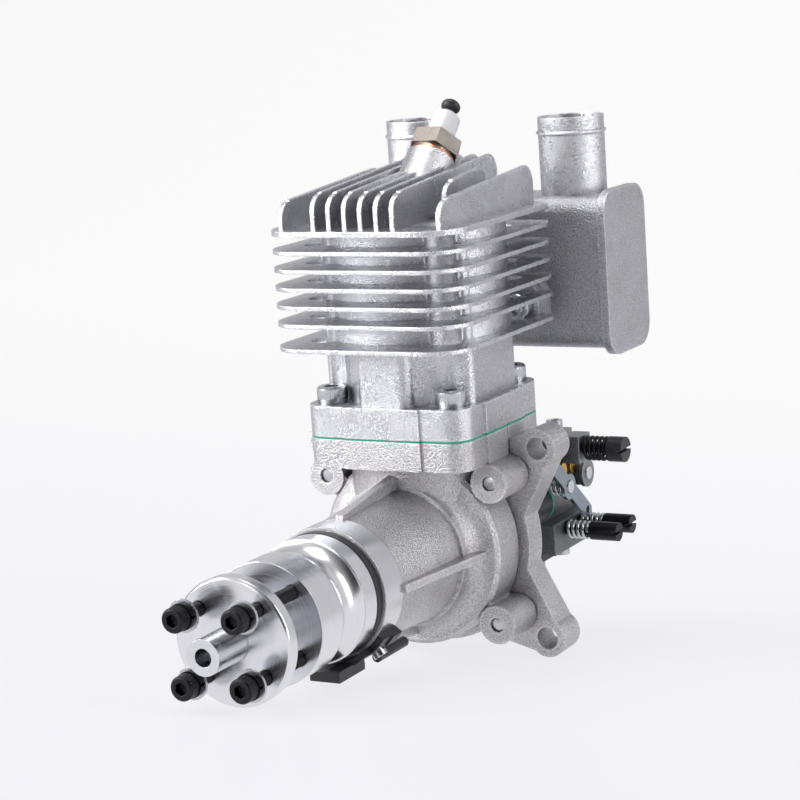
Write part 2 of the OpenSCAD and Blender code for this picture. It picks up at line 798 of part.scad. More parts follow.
// A straight rib along the nose, higher towards the drum
module nose_rib() {
    translate([-rib_half, 0, 0]) rotate([90, 0, 90]) linear_extrude(2 * rib_half)
        polygon([[ring_rear_y, 0], [ring_rear_y, rib_start_radius], [drum_front_y - drum_edge, rib_end_radius],
                 [drum_front_y + overrun, rib_end_radius], [drum_front_y + overrun, 0]]);
}

module crankcase_front() {
    color("silver") difference() {
        union() {
            rotate([-90, 0, 0]) rotate_extrude() nose_profile();
            for (turn = [0, 90, 180, 270]) rotate([0, turn, 0]) nose_rib();
            upright_corners(case_bolt_x, case_bolt_z) rod_y(case_boss_radius, drum_front_y, split_y);
            for (sx = [-1, 1], sz = [-1, 1]) boss_web(sx, sz);
            front_half() {
                rod_z_at_cylinder(neck_radius, 0, deck_height - case_flange_thickness + overrun);
                flange_block(deck_height - case_flange_thickness, deck_height);
            }
        }
        crank_chamber();
        case_bolt_holes();
        base_bolt_holes();
        rod_y(rear_bearing_outer_radius, rear_bearing_front_y, chamber_front_y + overrun);
        rod_y(front_bearing_outer_radius, front_bearing_front_y, front_bearing_rear_y);
        rod_y(journal_radius + bearing_ring_wall, front_bearing_rear_y - overrun,
              rear_bearing_front_y + overrun);
        rod_y(front_bearing_outer_radius - bearing_bore_shoulder, ring_front_y - overrun,
              front_bearing_front_y + overrun);
        sensor_screw_holes();
    }
}

// Fillet of metal between a bolt boss and the drum
module boss_web(sx, sz) {
    web_half = 3.4;
    boss_angle = atan2(sz * case_bolt_z, sx * case_bolt_x);
    boss_reach = norm([case_bolt_x, case_bolt_z]);
    web_front_y = drum_front_y + overrun;
    web_end_y = split_y - overrun;
    rotate([0, -boss_angle, 0]) translate([drum_radius - chamber_wall, web_front_y, -web_half])
        cube([boss_reach - drum_radius + chamber_wall, web_end_y - web_front_y, 2 * web_half]);
}

// Keeps what lies ahead of the split of the crankcase
module front_half() {
    reach = washer_ahead;
    intersection() {
        union() children();
        translate([-reach, split_y - reach, -reach]) cube([2 * reach, reach, 2 * reach]);
    }
}

// Keeps what lies behind the gasket at the split of the crankcase
module rear_half() {
    reach = washer_ahead;
    intersection() {
        union() children();
        translate([-reach, split_y + gasket_thickness, -reach]) cube([2 * reach, reach, 2 * reach]);
    }
}

module rod_z_at_cylinder(radius, from, to) {
    translate([0, cylinder_y, 0]) rod_z(radius, from, to);
}

// Chamber of the crank, and above it the round room for the rod and for the spigot of the cylinder
module crank_chamber() {
    reach = drum_radius;
    rod_y(chamber_radius, chamber_front_y, chamber_rear_y);
    intersection() {
        rod_z_at_cylinder(rod_room_radius, 0, spigot_floor + overrun);
        translate([-reach, chamber_front_y, 0])
            cube([2 * reach, chamber_rear_y - chamber_front_y, 2 * reach]);
    }
    rod_z_at_cylinder(spigot_hole_radius, spigot_floor, deck_height + overrun);
}

module case_bolt_holes() {
    upright_corners(case_bolt_x, case_bolt_z)
        rod_y(case_bolt_radius + bolt_clearance, drum_front_y - overrun, overrun);
}

module base_bolt_holes() {
    translate([0, cylinder_y, 0]) corners(base_bolt_offset, base_bolt_offset)
        rod_z(base_bolt_radius + bolt_clearance, deck_height - base_bolt_grip - overrun, deck_height + overrun);
}

// One arm of the mount: a round end about the lug, widening towards the drum
module lug_arm(sx, sz) {
    root_share = 0.56;
    root = rear_drum_radius * root_share;
    end_half = lug_radius - arm_end_inset;
    lug = [sx * lug_x, sz * lug_z];
    reach = norm(lug);
    along = lug / reach;
    across = [-along[1], along[0]];
    polygon([lug + across * end_half, lug - across * end_half, along * root - across * root,
             along * root + across * root]);
    translate(lug) circle(r = lug_radius);
}
arm_end_inset = 0.3;

module crankcase_rear() {
    rear_step = 1.6;
    color("silver") difference() {
        union() {
            rear_half() {
                rod_y(rear_drum_radius, split_y, -rear_step);
                slab_y(split_y, 0) for (sx = [-1, 1], sz = [-1, 1]) lug_arm(sx, sz);
                rod_z_at_cylinder(neck_radius, rear_neck_bottom, deck_height - case_flange_thickness + overrun);
                flange_block(deck_height - case_flange_thickness, deck_height);
            }
            slab_y(-rear_step - overrun, back_face_y) translate([0, port_z])
                round_rect(intake_half_width, intake_half_height, intake_corner);
        }
        crank_chamber();
        // Intake port through the rear wall
        slab_y(chamber_rear_y - overrun, back_face_y + overrun)
            translate([0, port_z]) square([2 * port_half_width, 2 * port_half_height], center = true);
        case_bolt_holes();
        base_bolt_holes();
        upright_corners(lug_x, lug_z) rod_y(lug_hole_radius, split_y - overrun, overrun);
        carb_bolt_holes(-carb_bolt_seat_depth);
    }
}
carb_bolt_seat_depth = 3;

module crankcase_gasket() {
    gasket_inset = 0.4;
    color("seagreen") difference() {
        union() {
            slab_y(split_y, split_y + gasket_thickness) {
                circle(r = drum_radius - drum_edge);
                corners(case_bolt_x, case_bolt_z) circle(r = case_boss_radius - gasket_inset);
            }
            translate([-neck_radius, split_y, 0])
                cube([2 * neck_radius, gasket_thickness, deck_height]);
        }
        crank_chamber();
        case_bolt_holes();
    }
}

module crankcase_bolts() {
    bolt_end_gap = 0.6;
    case_bolt_length = drum_ahead - bolt_end_gap;
    color("silver") upright_corners(case_bolt_x, case_bolt_z) rotate([-90, 0, 0])
        socket_screw(case_bolt_radius, case_bolt_length);
}

// Sensor that reads the magnet in the hub: a saddle that follows the underside of the nose

module place_sensor_screws() {
    for (turn = sensor_screw_turns) rotate([0, turn, 0])
        translate([0, (ring_front_y + ring_rear_y) / 2, 0]) children();
}

module sensor_screw_holes() {
    hole_depth = 2.6;
    place_sensor_screws() rod_z(sensor_screw_radius + bolt_clearance, -nose_ring_radius - overrun,
                                -nose_ring_radius + hole_depth);
}

// Wedge of the XZ plane between two turns from straight down towards the right
module wedge(from, to) {
    far = 2 * nose_ring_radius;
    polygon([[0, 0], [-far * sin(from), -far * cos(from)],
             [-far * sin((from + to) / 2), -far * cos((from + to) / 2)], [-far * sin(to), -far * cos(to)]]);
}

module sensor_housing() {
    front_arc = [2, -40];
    rear_arc = [2, -55];
    end_arc = [-44, -55];
    block_front_y = ring_front_y - sensor_block_lead;
    block_bottom = -sensor_outer_radius - sensor_block_proud;
    block_top = sensor_block_root - sensor_inner_radius;
    color([0.08, 0.08, 0.09]) difference() {
        union() {
            translate([0, block_front_y, block_bottom])
                cube([sensor_block_width, sensor_block_lead + sensor_block_tail, block_top - block_bottom]);
            sensor_arc(sensor_inner_radius, sensor_outer_radius, ring_front_y - sensor_arc_lead,
                       ring_front_y + overrun, front_arc);
            sensor_arc(nose_ring_radius, sensor_outer_radius, ring_front_y, ring_rear_y, rear_arc);
            sensor_arc(nose_ring_radius, sensor_outer_radius + sensor_end_proud,
                       ring_rear_y - sensor_end_length, ring_rear_y, end_arc);
            rotate([0, -sensor_boot_turn, 0]) translate([0, 0, -sensor_outer_radius - sensor_boot_proud])
                rod_y(sensor_boot_radius, ring_rear_y - sensor_boot_root, ring_rear_y + sensor_boot_length);
        }
        rod_y(sensor_inner_radius, block_front_y - overrun, ring_front_y - overrun / 2);
        rod_y(nose_ring_radius + seat_gap, ring_front_y - overrun, ring_rear_y + 2 * overrun);
        cone_y(nose_front_radius + sensor_nose_gap, nose_rear_radius + sensor_nose_gap, ring_rear_y,
               drum_front_y);
        place_sensor_screws() {
            rod_z(sensor_screw_radius + bolt_clearance, -sensor_outer_radius - overrun,
                  -nose_ring_radius + overrun);
            rod_z(sensor_screw_radius * head_radius_share + bolt_clearance, -sensor_outer_radius - 2 * overrun,
                  -sensor_screw_seat);
        }
    }
}

module sensor_arc(inner, outer, from, to, turns) {
    intersection() {
        tube_y(outer, inner, from, to);
        slab_y(from - overrun, to + overrun) wedge(turns[0], turns[1]);
    }
}

module sensor_screws() {
    sensor_screw_length = 3.6;
    color("dimgray") place_sensor_screws() translate([0, 0, -sensor_screw_seat])
        rotate([180, 0, 0]) socket_screw(sensor_screw_radius, sensor_screw_length);
}

// Cylinder

// Plan of the barrel: a round core with a boost port lobe in front and a transfer lobe on each side
module barrel_plan() {
    circle(r = barrel_radius);
    translate([0, -front_lobe_reach / 2]) round_rect(front_lobe_half, front_lobe_reach / 2, lobe_corner);
    round_rect(side_lobe_reach, side_lobe_half, lobe_corner);
}

// Plan of a cooling fin, with larger corners in front
module fin_plan() {
    half_x = fin_width / 2;
    half_y = fin_length / 2;
    square([2 * half_x, 2 * (half_y - fin_front_corner)], center = true);
    translate([fin_rear_corner - half_x, 0]) square([2 * (half_x - fin_rear_corner), half_y]);
    translate([fin_front_corner - half_x, -half_y]) square([2 * (half_x - fin_front_corner), half_y]);
    for (side = [-1, 1]) {
        translate([side * (half_x - fin_front_corner), fin_front_corner - half_y]) circle(r = fin_front_corner);
        translate([side * (half_x - fin_rear_corner), half_y - fin_rear_corner]) circle(r = fin_rear_corner);
        translate([side > 0 ? 0 : -half_x, 0]) square([half_x, half_y - fin_rear_corner]);
    }
}

module fin_plate(bottom, thickness) {
    translate([0, cylinder_y - fin_lead, bottom]) linear_extrude(thickness)
        fin_plan();
}

// Side view of an upright head fin: straight front, round corner, top that rises to the rear
module head_fin(x, front, rear, front_height, rear_height) {
    front_round = 5;
    rear_round = 6;
    base = top_plate_height;
    translate([x - head_fin_thickness / 2, 0, 0]) rotate([90, 0, 90]) linear_extrude(head_fin_thickness) {
        difference() {
            polygon([[front, base], [front, base + front_height], [rear, base + rear_height], [rear, base]]);
            // Rounded upper corners
            translate([front, base + front_height - front_round]) difference() {
                translate([-overrun, 0]) square([front_round + overrun, 2 * front_round]);
                translate([front_round, 0]) circle(r = front_round);
            }
            translate([rear - rear_round, base + rear_height - rear_round]) difference() {
                square([rear_round + overrun, 2 * rear_round]);
                circle(r = rear_round);
            }
        }
    }
}

// Turns the children's Z axis onto the axis of the spark plug, with the origin in the chamber
module along_plug() {
    translate([0, cylinder_y, plug_core_z]) rotate([-plug_lean, 0, 0]) children();
}

module cylinder_fins() {
    for (k = [1 : fin_count - 1]) fin_plate(top_plate_height - k * fin_pitch, fin_thickness);
    fin_plate(lowest_fin_z, fin_thickness);
    fin_plate(top_plate_height, top_plate_thickness);
}

module head_fins() {
    inner_fins = 6;
    inner_start = -14.1;
    inner_front = -44.4;
    inner_rear = 21.6;
    inner_front_height = 11.6;
    inner_rear_height = 16.8;
    outer_front = -43.2;
    outer_rear = 17;
    outer_front_height = 9.4;
    outer_rear_height = 13.6;
    short_front = -24.4;
    short_rear = 2;
    short_front_height = 12.4;
    short_rear_height = 15;
    short_fin_share = 0.2;
    for (k = [0 : inner_fins - 1])
        head_fin(inner_start + k * head_fin_pitch, inner_front, inner_rear, inner_front_height,
                 inner_rear_height);
    for (side = [-1, 1])
        head_fin(side * outer_head_fin_x, outer_front, outer_rear, outer_front_height, outer_rear_height);
    head_fin(inner_start + (inner_fins + short_fin_share) * head_fin_pitch, short_front, short_rear,
             short_front_height, short_rear_height);
}

module cylinder_casting() {
    color([0.78, 0.79, 0.8]) difference() {
        union() {
            flange_block(base_gasket_top, flange_top);
            translate([0, cylinder_y, flange_top - overrun])
                linear_extrude(top_plate_height - flange_top + 2 * overrun) barrel_plan();
            rod_z_at_cylinder(core_radius, lowest_fin_z, top_plate_height + overrun / 2);
            cylinder_fins();
            head_fins();
            // Spigot that enters the crankcase
            rod_z_at_cylinder(cylinder_bore / 2 + spigot_wall, spigot_bottom, base_gasket_top + overrun);
            // Roof over the combustion chamber, and the boss of the plug
            rod_z_at_cylinder(dome_radius + roof_wall, top_plate_height, plug_core_z);
            along_plug() rod_z(plug_boss_radius, -overrun, plug_seat_reach);
            exhaust_duct();
        }
        rod_z_at_cylinder(cylinder_bore / 2, spigot_bottom - overrun, chamber_roof);
        translate([0, cylinder_y, chamber_roof - seat_gap]) combustion_dome();
        along_plug() rod_z(plug_thread_radius + bolt_clearance, -plug_thread_radius, plug_seat_reach + overrun);
        // Room for the plug and its spanner between the head fins
        along_plug() rod_z(plug_boss_radius + plug_spanner_gap, plug_seat_reach, plug_seat_reach + plug_core_z);
        exhaust_port();
        exhaust_room();
        bolt_access_holes();
        base_bolt_passages();
        transfer_ports();
    }
}
plug_spanner_gap = 0.5;
roof_wall = 2;
port_corner = 2;
plug_thread_radius = 5;

module combustion_dome() {
    dome_sphere = (dome_radius * dome_radius + dome_height * dome_height) / (2 * dome_height);
    translate([0, 0, dome_height - dome_sphere]) intersection() {
        sphere(r = dome_sphere);
        translate([0, 0, dome_sphere - dome_height]) cylinder(r = dome_radius, h = dome_height);
    }
}

// Duct from the bore to the exhaust flange at the rear
module exhaust_duct() {
    duct_wall = 2.5;
    duct_front_y = cylinder_y + barrel_radius - duct_wall - overrun;
    slab_y(duct_front_y, exhaust_face_y) translate([0, exhaust_z])
        square([2 * (exhaust_port_half_width + duct_wall), 2 * (exhaust_port_half_height + duct_wall)],
               center = true);
    slab_y(exhaust_face_y - exhaust_flange_thickness, exhaust_face_y) exhaust_flange_plan();
}

module exhaust_flange_plan() {
    ear = 5.6;
    translate([0, exhaust_z]) difference() {
        round_rect(exhaust_half_width, exhaust_half_height, ear);
        for (side = [-1, 1]) translate([side * exhaust_bolt_x, 0])
            circle(r = exhaust_bolt_radius + bolt_clearance);
    }
}

module exhaust_port() {
    slab_y(cylinder_y, exhaust_face_y + overrun) translate([0, exhaust_z])
        round_rect(exhaust_port_half_width, exhaust_port_half_height, port_corner);
    for (side = [-1, 1]) translate([side * exhaust_bolt_x, 0, exhaust_z])
        rod_y(exhaust_bolt_radius + bolt_clearance, exhaust_face_y - exhaust_flange_thickness - 2 * overrun,
              exhaust_face_y + overrun);
}

// Room in the fins for the muffler's flange and for the heads of its bolts
module exhaust_room() {
    room = 0.5;
    channel_length = 9;
    slab_y(exhaust_face_y, exhaust_face_y + 2 * exhaust_flange_thickness) translate([0, exhaust_z])
        square([2 * (exhaust_half_width + room), 2 * (exhaust_half_height + room)], center = true);
    for (side = [-1, 1]) translate([side * exhaust_bolt_x, 0, exhaust_z])
        rod_y(exhaust_bolt_radius * head_radius_share + room,
              exhaust_face_y - exhaust_flange_thickness - channel_length,
              exhaust_face_y - exhaust_flange_thickness);
}

module bolt_access_holes() {
    translate([0, cylinder_y, 0]) corners(base_bolt_offset, base_bolt_offset)
        rod_z(access_hole_radius, flange_top + base_bolt_radius * head_height_share,
              top_plate_top + overrun / 2);
}

module base_bolt_passages() {
    translate([0, cylinder_y, 0]) corners(base_bolt_offset, base_bolt_offset) {
        rod_z(base_bolt_radius + bolt_clearance, base_gasket_top - overrun, flange_top + overrun);
        rod_z(access_hole_radius, flange_top, flange_top + base_bolt_radius * head_height_share + overrun);
    }
}

// Transfer ports in both sides of the bore, fed from the crankcase
module transfer_ports() {
    port_width = 12;
    port_drop_share = 0.72;
    port_top = chamber_roof - stroke * port_drop_share;
    port_depth = 2.4;
    for (side = [-1, 1])
        translate([side * (cylinder_bore / 2 - overrun), cylinder_y - port_width / 2, flange_top - overrun])
            mirror([side < 0 ? 1 : 0, 0, 0]) cube([port_depth + overrun, port_width, port_top - flange_top]);
}

module base_gasket() {
    color("mediumseagreen") difference() {
        flange_block(deck_height, base_gasket_top);
        rod_z_at_cylinder(spigot_hole_radius, 0, deck_height + 2 * overrun);
        translate([0, cylinder_y, 0]) corners(base_bolt_offset, base_bolt_offset)
            rod_z(base_bolt_radius + bolt_clearance, 0, deck_height + 2 * overrun);
    }
}

module base_bolts() {
    base_bolt_length = base_flange_thickness + gasket_thickness + base_bolt_grip;
    color("white") translate([0, cylinder_y, flange_top]) corners(base_bolt_offset, base_bolt_offset)
        socket_screw(base_bolt_radius, base_bolt_length);
}

// Spark plug, along its own axis

plug_reach = 16;
plug_hex_half = 7;
plug_hex_height = 5.4;
plug_gasket_thickness = 1.1;
plug_shoulder_radius = 6.6;
insulator_radius = 4.3;
insulator_height = 10.6;
terminal_radius = 2.95;
terminal_height = 4;
insulator_bore_radius = 3;

module plug_shell() {
    seat = plug_seat_reach + plug_gasket_thickness;
    hex_sides = 6;
    hex_corner = plug_hex_half / cos(180 / hex_sides);
    color("tan") along_plug() difference() {
        union() {
            rod_z(plug_thread_radius, plug_seat_reach - plug_reach, seat + overrun);
            rod_z(plug_shoulder_radius, seat, seat + overrun);
            translate([0, 0, seat + overrun]) cylinder(r = hex_corner, h = plug_hex_height, $fn = hex_sides);
        }
        rod_z(insulator_bore_radius + seat_gap, plug_seat_reach - plug_reach - overrun,
              seat + plug_hex_height + 2 * overrun);
        rod_z(insulator_radius + seat_gap, seat + plug_hex_height, seat + plug_hex_height + 2 * overrun);
    }
}

module plug_gasket() {
    color("chocolate") along_plug() difference() {
        rod_z(plug_shoulder_radius + plug_gasket_thickness / 2, plug_seat_reach,
              plug_seat_reach + plug_gasket_thickness);
        rod_z(plug_thread_radius + seat_gap, plug_seat_reach - overrun, plug_seat_reach + 2 * overrun);
    }
}

module plug_insulator() {
    shell_top = plug_seat_reach + plug_gasket_thickness + plug_hex_height + overrun;
    nose_recess = 1;
    shoulder = 1.4;
    color("white") along_plug() difference() {
        union() {
            rod_z(insulator_bore_radius, plug_seat_reach - plug_reach + nose_recess, shell_top - overrun / 2);
            rod_z(insulator_radius, shell_top - overrun, shell_top + insulator_height - shoulder);
            translate([0, 0, shell_top + insulator_height - shoulder])
                cylinder(r1 = insulator_radius, r2 = insulator_radius - shoulder, h = shoulder);
        }
        rod_z(electrode_radius + seat_gap, plug_seat_reach - plug_reach,
              shell_top + insulator_height + overrun);
    }
}
electrode_radius = 1.2;

module plug_terminal() {
    top = plug_seat_reach + plug_gasket_thickness + plug_hex_height + overrun + insulator_height;
    neck_height = 1.2;
    color([0.1, 0.1, 0.1]) along_plug() {
        rod_z(electrode_radius, plug_seat_reach - plug_reach, top + neck_height + overrun);
        translate([0, 0, top + neck_height]) rotate_extrude() intersection() {
            translate([0, terminal_height / 2]) scale([terminal_radius / terminal_height * 2, 1])
                circle(r = terminal_height / 2);
            square([terminal_radius, terminal_height]);
        }
    }
}

// Exhaust

module exhaust_gasket() {
    color("dimgray") difference() {
        slab_y(exhaust_face_y, muffler_flange_front_y) exhaust_flange_plan();
        exhaust_port();
    }
}

// Side view of the muffler box, in Y and Z, grown by a given amount
module muffler_profile(grow) {
    translate([muffler_middle_y, muffler_z])
        round_rect(muffler_depth / 2 + grow, muffler_height / 2 + grow, muffler_corner + grow);
}

module muffler_slice(from, to, grow) {
    translate([from, 0, 0]) rotate([90, 0, 90]) linear_extrude(to - from) muffler_profile(grow);
}

module muffler_body() {
    half = muffler_length / 2 - end_plate_thickness;
    duct_wall = 2.5;
    color([0.7, 0.7, 0.71]) difference() {
        union() {
            muffler_slice(-half, half, 0);
            slab_y(muffler_flange_front_y, muffler_front_y + muffler_wall) translate([0, exhaust_z])
                square([2 * (exhaust_port_half_width + duct_wall), 2 * (exhaust_port_half_height + duct_wall)],
                       center = true);
            slab_y(muffler_flange_front_y, muffler_flange_front_y + exhaust_flange_thickness)
                exhaust_flange_plan();
        }
        muffler_slice(-half - overrun, half + overrun, -muffler_wall);
        slab_y(exhaust_face_y, muffler_front_y + 2 * muffler_wall) translate([0, exhaust_z])
            round_rect(exhaust_port_half_width, exhaust_port_half_height, port_corner);
        for (side = [-1, 1]) translate([side * pipe_x, pipe_y, 0])
            rod_z(pipe_radius + seat_gap, muffler_z, muffler_z + muffler_height);
    }
}

module muffler_end_plates() {
    half = muffler_length / 2;
    plug_length = 3;
    color([0.74, 0.74, 0.75]) for (side = [-1, 1]) mirror([side < 0 ? 1 : 0, 0, 0]) {
        muffler_slice(half - end_plate_thickness, half, end_plate_lip);
        difference() {
            muffler_slice(half - end_plate_thickness - plug_length, half, -muffler_wall - seat_gap);
            muffler_slice(half - end_plate_thickness - plug_length - overrun, half - end_plate_thickness,
                          -2 * muffler_wall);
        }
    }
}

module outlet_pipes() {
    bottom = muffler_z + muffler_height / 2 - pipe_depth;
    bead_z = pipe_top - pipe_bead_drop;
    color([0.8, 0.8, 0.81]) for (side = [-1, 1]) translate([side * pipe_x, pipe_y, 0]) difference() {
        union() {
            rod_z(pipe_radius, bottom, pipe_top);
            translate([0, 0, bead_z]) rotate_extrude() translate([pipe_radius, 0]) circle(r = pipe_bead_size);
        }
        rod_z(pipe_radius - pipe_wall, bottom - overrun, pipe_top + overrun);
    }
}

module muffler_bolts() {
    muffler_bolt_length = 2 * exhaust_flange_thickness + gasket_thickness + overrun;
    color("white") for (side = [-1, 1]) translate([side * exhaust_bolt_x, 0, exhaust_z])
        translate([0, exhaust_face_y - exhaust_flange_thickness, 0]) rotate([90, 0, 0])
            socket_screw(exhaust_bolt_radius, muffler_bolt_length);
}

// Intake behind the crankcase

// Outline of the intake flange, with an ear on the right
module intake_plan() {
    translate([0, carb_z]) round_rect(intake_half_width, intake_half_height, intake_corner);
    translate([ear_x, ear_z]) circle(r = ear_radius);
    translate([0, ear_z - ear_radius]) square([ear_x, 2 * ear_radius]);
}

module carb_bolt_holes(from) {
    for (side = [-1, 1]) translate([side * carb_bolt_x, 0, carb_z - carb_bolt_drop])
        rod_y(carb_bolt_radius + bolt_clearance, from, carb_rear_y + overrun);
}

module intake_bore(from, to) {
    translate([0, 0, carb_z]) rod_y(carb_bore_radius, from, to);
}

module intake_gaskets() {
    color("mediumseagreen") for (front = [back_face_y, insulator_rear_y]) difference() {
        slab_y(front, front + gasket_thickness) intake_plan();
        intake_bore(front - overrun, front + 2 * overrun);
        carb_bolt_holes(back_face_y - overrun);
        translate([ear_x, 0, ear_z]) rod_y(ear_hole_radius, front - overrun, front + 2 * overrun);
        if (front == back_face_y) slab_y(front - overrun, front + 2 * overrun) translate([0, port_z])
            square([2 * port_half_width, 2 * port_half_height], center = true);
    }
}

module reed_plate() {
    color([0.2, 0.2, 0.2]) difference() {
        slab_y(plate_front_y, reed_rear_y) intake_plan();
        for (side = [-1, 1]) slab_y(plate_front_y - overrun, reed_rear_y + overrun)
            translate([side * reed_window_x, carb_z])
                square([2 * reed_window_half_width, 2 * reed_window_half_height], center = true);
        carb_bolt_holes(back_face_y - overrun);
        translate([ear_x, 0, ear_z]) rod_y(ear_hole_radius, plate_front_y - overrun, reed_rear_y + overrun);
    }
}
reed_window_x = 4.2;
reed_window_half_width = 2.8;
reed_window_half_height = 4.6;
reed_margin = 1;

module reed_petals() {
    color("goldenrod") for (side = [-1, 1])
        slab_y(plate_front_y - reed_thickness, plate_front_y) translate([side * reed_window_x, carb_z])
            square([2 * (reed_window_half_width + reed_margin), 2 * (reed_window_half_height + reed_margin)],
                   center = true);
}

module insulator_block() {
    color([0.12, 0.12, 0.12]) difference() {
        slab_y(reed_rear_y, insulator_rear_y) intake_plan();
        intake_bore(reed_rear_y - overrun, insulator_rear_y + overrun);
        carb_bolt_holes(back_face_y - overrun);
        translate([ear_x, 0, ear_z]) rod_y(ear_hole_radius, reed_rear_y - overrun, insulator_rear_y + overrun);
    }
}

module carb_bolts() {
    bolt_length = carb_rear_y - back_face_y + carb_bolt_seat_depth - overrun;
    color("silver") for (side = [-1, 1]) translate([side * carb_bolt_x, carb_rear_y, carb_z - carb_bolt_drop])
        rotate([-90, 0, 0]) socket_screw(carb_bolt_radius, bolt_length);
}

// Carburettor

module carb_body() {
    side_inset = 1;
    boss_wall = 2;
    color([0.35, 0.36, 0.37]) difference() {
        union() {
            translate([-carb_left, carb_front_y, carb_bottom])
                cube([carb_left + carb_upper_right, carb_length, carb_top - carb_bottom]);
            translate([-carb_left, carb_front_y + side_inset, carb_bottom])
                cube([carb_left + carb_right, carb_length - 2 * side_inset, carb_step_z - carb_bottom]);
            translate([0, choke_y, carb_z]) rod_x(throttle_shaft_radius + boss_wall, 0, carb_right);
        }
        intake_bore(carb_front_y - overrun, carb_rear_y + overrun);
        translate([0, 0, carb_z])
            cone_y(carb_bore_radius - carb_mouth_flare, carb_bore_radius + carb_mouth_flare,
                   carb_rear_y - carb_mouth_length, carb_rear_y + seat_gap);
        carb_bolt_holes(back_face_y - overrun);
        for (y = [throttle_y, choke_y]) translate([0, y, carb_z])
            rod_x(throttle_shaft_radius + running_gap, -carb_left - overrun, carb_right + overrun);
        for (y = [low_needle_y, high_needle_y]) translate([0, y, needle_z])
            rod_x(needle_shank_radius + running_gap, carb_right - needle_shank_depth - overrun,
                  carb_right + overrun);
    }
}
carb_mouth_length = 4;
carb_mouth_flare = 1.2;

module pump_cover() {
    color([0.42, 0.43, 0.45]) difference() {
        union() {
            carb_cover_plate(carb_top, carb_top + cover_thickness);
            // Bracket of the idle screw
            translate([carb_right - idle_bracket_reach, idle_y - idle_block_half, carb_top])
                cube([idle_block_width + idle_bracket_reach, 2 * idle_block_half, cover_thickness]);
            translate([carb_right, idle_y - idle_block_half, idle_z - idle_block_half])
                cube([idle_block_width, 2 * idle_block_half, 2 * idle_block_half]);
        }
        translate([0, idle_y, idle_z])
            rod_x(needle_shank_radius + running_gap, carb_right - 2 * overrun,
                  carb_right + idle_block_width + overrun);
        cover_screw_holes(carb_top - overrun, carb_top + cover_thickness + overrun);
    }
}

module carb_cover_plate(from, to) {
    edge = 1;
    translate([-carb_left, carb_front_y + edge, from])
        cube([carb_left + carb_upper_right, carb_length - 2 * edge, to - from]);
}

module place_cover_screws() {
    for (x = [-carb_left + cover_screw_inset, carb_upper_right - cover_screw_inset],
         y = [carb_front_y + cover_screw_front, carb_rear_y - cover_screw_rear])
        translate([x, y, 0]) children();
}

module cover_screw_holes(from, to) {
    place_cover_screws() rod_z(cover_screw_radius + bolt_clearance, from, to);
}

module metering_cover() {
    color([0.08, 0.08, 0.08]) difference() {
        carb_cover_plate(carb_bottom - metering_thickness, carb_bottom);
        cover_screw_holes(carb_bottom - metering_thickness - overrun, carb_bottom + overrun);
    }
}

module cover_screws() {
    screw_end_gap = 0.2;
    color("dimgray") place_cover_screws() {
        translate([0, 0, carb_top + cover_thickness])
            socket_screw(cover_screw_radius, cover_thickness - screw_end_gap);
        translate([0, 0, carb_bottom - metering_thickness]) rotate([180, 0, 0])
            socket_screw(cover_screw_radius, metering_thickness - screw_end_gap);
    }
}

module fuel_fittings() {
    color("goldenrod") for (k = [0, 1])
        translate([0, carb_front_y + fitting_inset + k * fitting_pitch, carb_top - fitting_drop])
            rod_x(fitting_radius, carb_upper_right, carb_upper_right + fitting_length);
}

module throttle_shaft() {
    color("silver") translate([0, throttle_y, carb_z]) difference() {
        rod_x(throttle_shaft_radius, -carb_left - shaft_end_reach,
              throttle_lever_x + lever_thickness + shaft_tip);
        disc_flat();
    }
}

// Flat of a shaft on which its disc lies
module disc_flat() {
    translate([-carb_bore_radius, -overrun - throttle_shaft_radius, disc_thickness / 2])
        cube([2 * carb_bore_radius, 2 * (overrun + throttle_shaft_radius), throttle_shaft_radius]);
}

// Disc across the bore, on the flat of its shaft
module bore_disc() {
    rod_z(carb_bore_radius - disc_inset, -disc_thickness / 2, disc_thickness / 2);
}

module throttle_disc() {
    color("goldenrod") translate([0, throttle_y, carb_z + disc_thickness]) bore_disc();
}

module throttle_lever() {
    lever_eye_wall = 2;
    arm_half = 2.4;
    cable_hole_radius = 1.2;
    color("lightsteelblue") translate([throttle_lever_x, throttle_y, carb_z]) rotate([lever_tilt, 0, 0])
        difference() {
            union() {
                rod_x(throttle_shaft_radius + lever_eye_wall, 0, lever_thickness);
                translate([0, -lever_front_arm, -arm_half])
                    cube([lever_thickness, lever_front_arm + lever_rear_arm, 2 * arm_half]);
                translate([0, lever_rear_arm, 0]) rod_x(arm_half, 0, lever_thickness);
                translate([0, -lever_front_arm, 0]) rod_x(arm_half, 0, lever_thickness);
            }
            rod_x(throttle_shaft_radius + seat_gap, -overrun, lever_thickness + overrun);
            translate([0, lever_rear_arm, 0]) rod_x(cable_hole_radius, -overrun, lever_thickness + overrun);
        }
}

module throttle_spring() {
    spring_from = carb_upper_right + seat_gap;
    color("silver") translate([spring_from, throttle_y, carb_z]) rotate([0, 90, 0])
        coil(throttle_spring_radius, throttle_spring_wire, throttle_lever_x - spring_from - seat_gap,
             throttle_spring_turns);
}

module choke_shaft() {
    color("silver") translate([0, choke_y, carb_z]) difference() {
        rod_x(throttle_shaft_radius, -carb_left - shaft_end_reach,
              choke_lever_x + lever_thickness + shaft_tip);
        disc_flat();
    }
}

module choke_disc() {
    color("goldenrod") translate([0, choke_y, carb_z + disc_thickness]) bore_disc();
}

module choke_lever() {
    round_radius = 4.4;
    color("gray") translate([choke_lever_x, choke_y, carb_z]) difference() {
        rod_x(round_radius, 0, lever_thickness);
        rod_x(throttle_shaft_radius + seat_gap, -overrun, lever_thickness + overrun);
    }
}

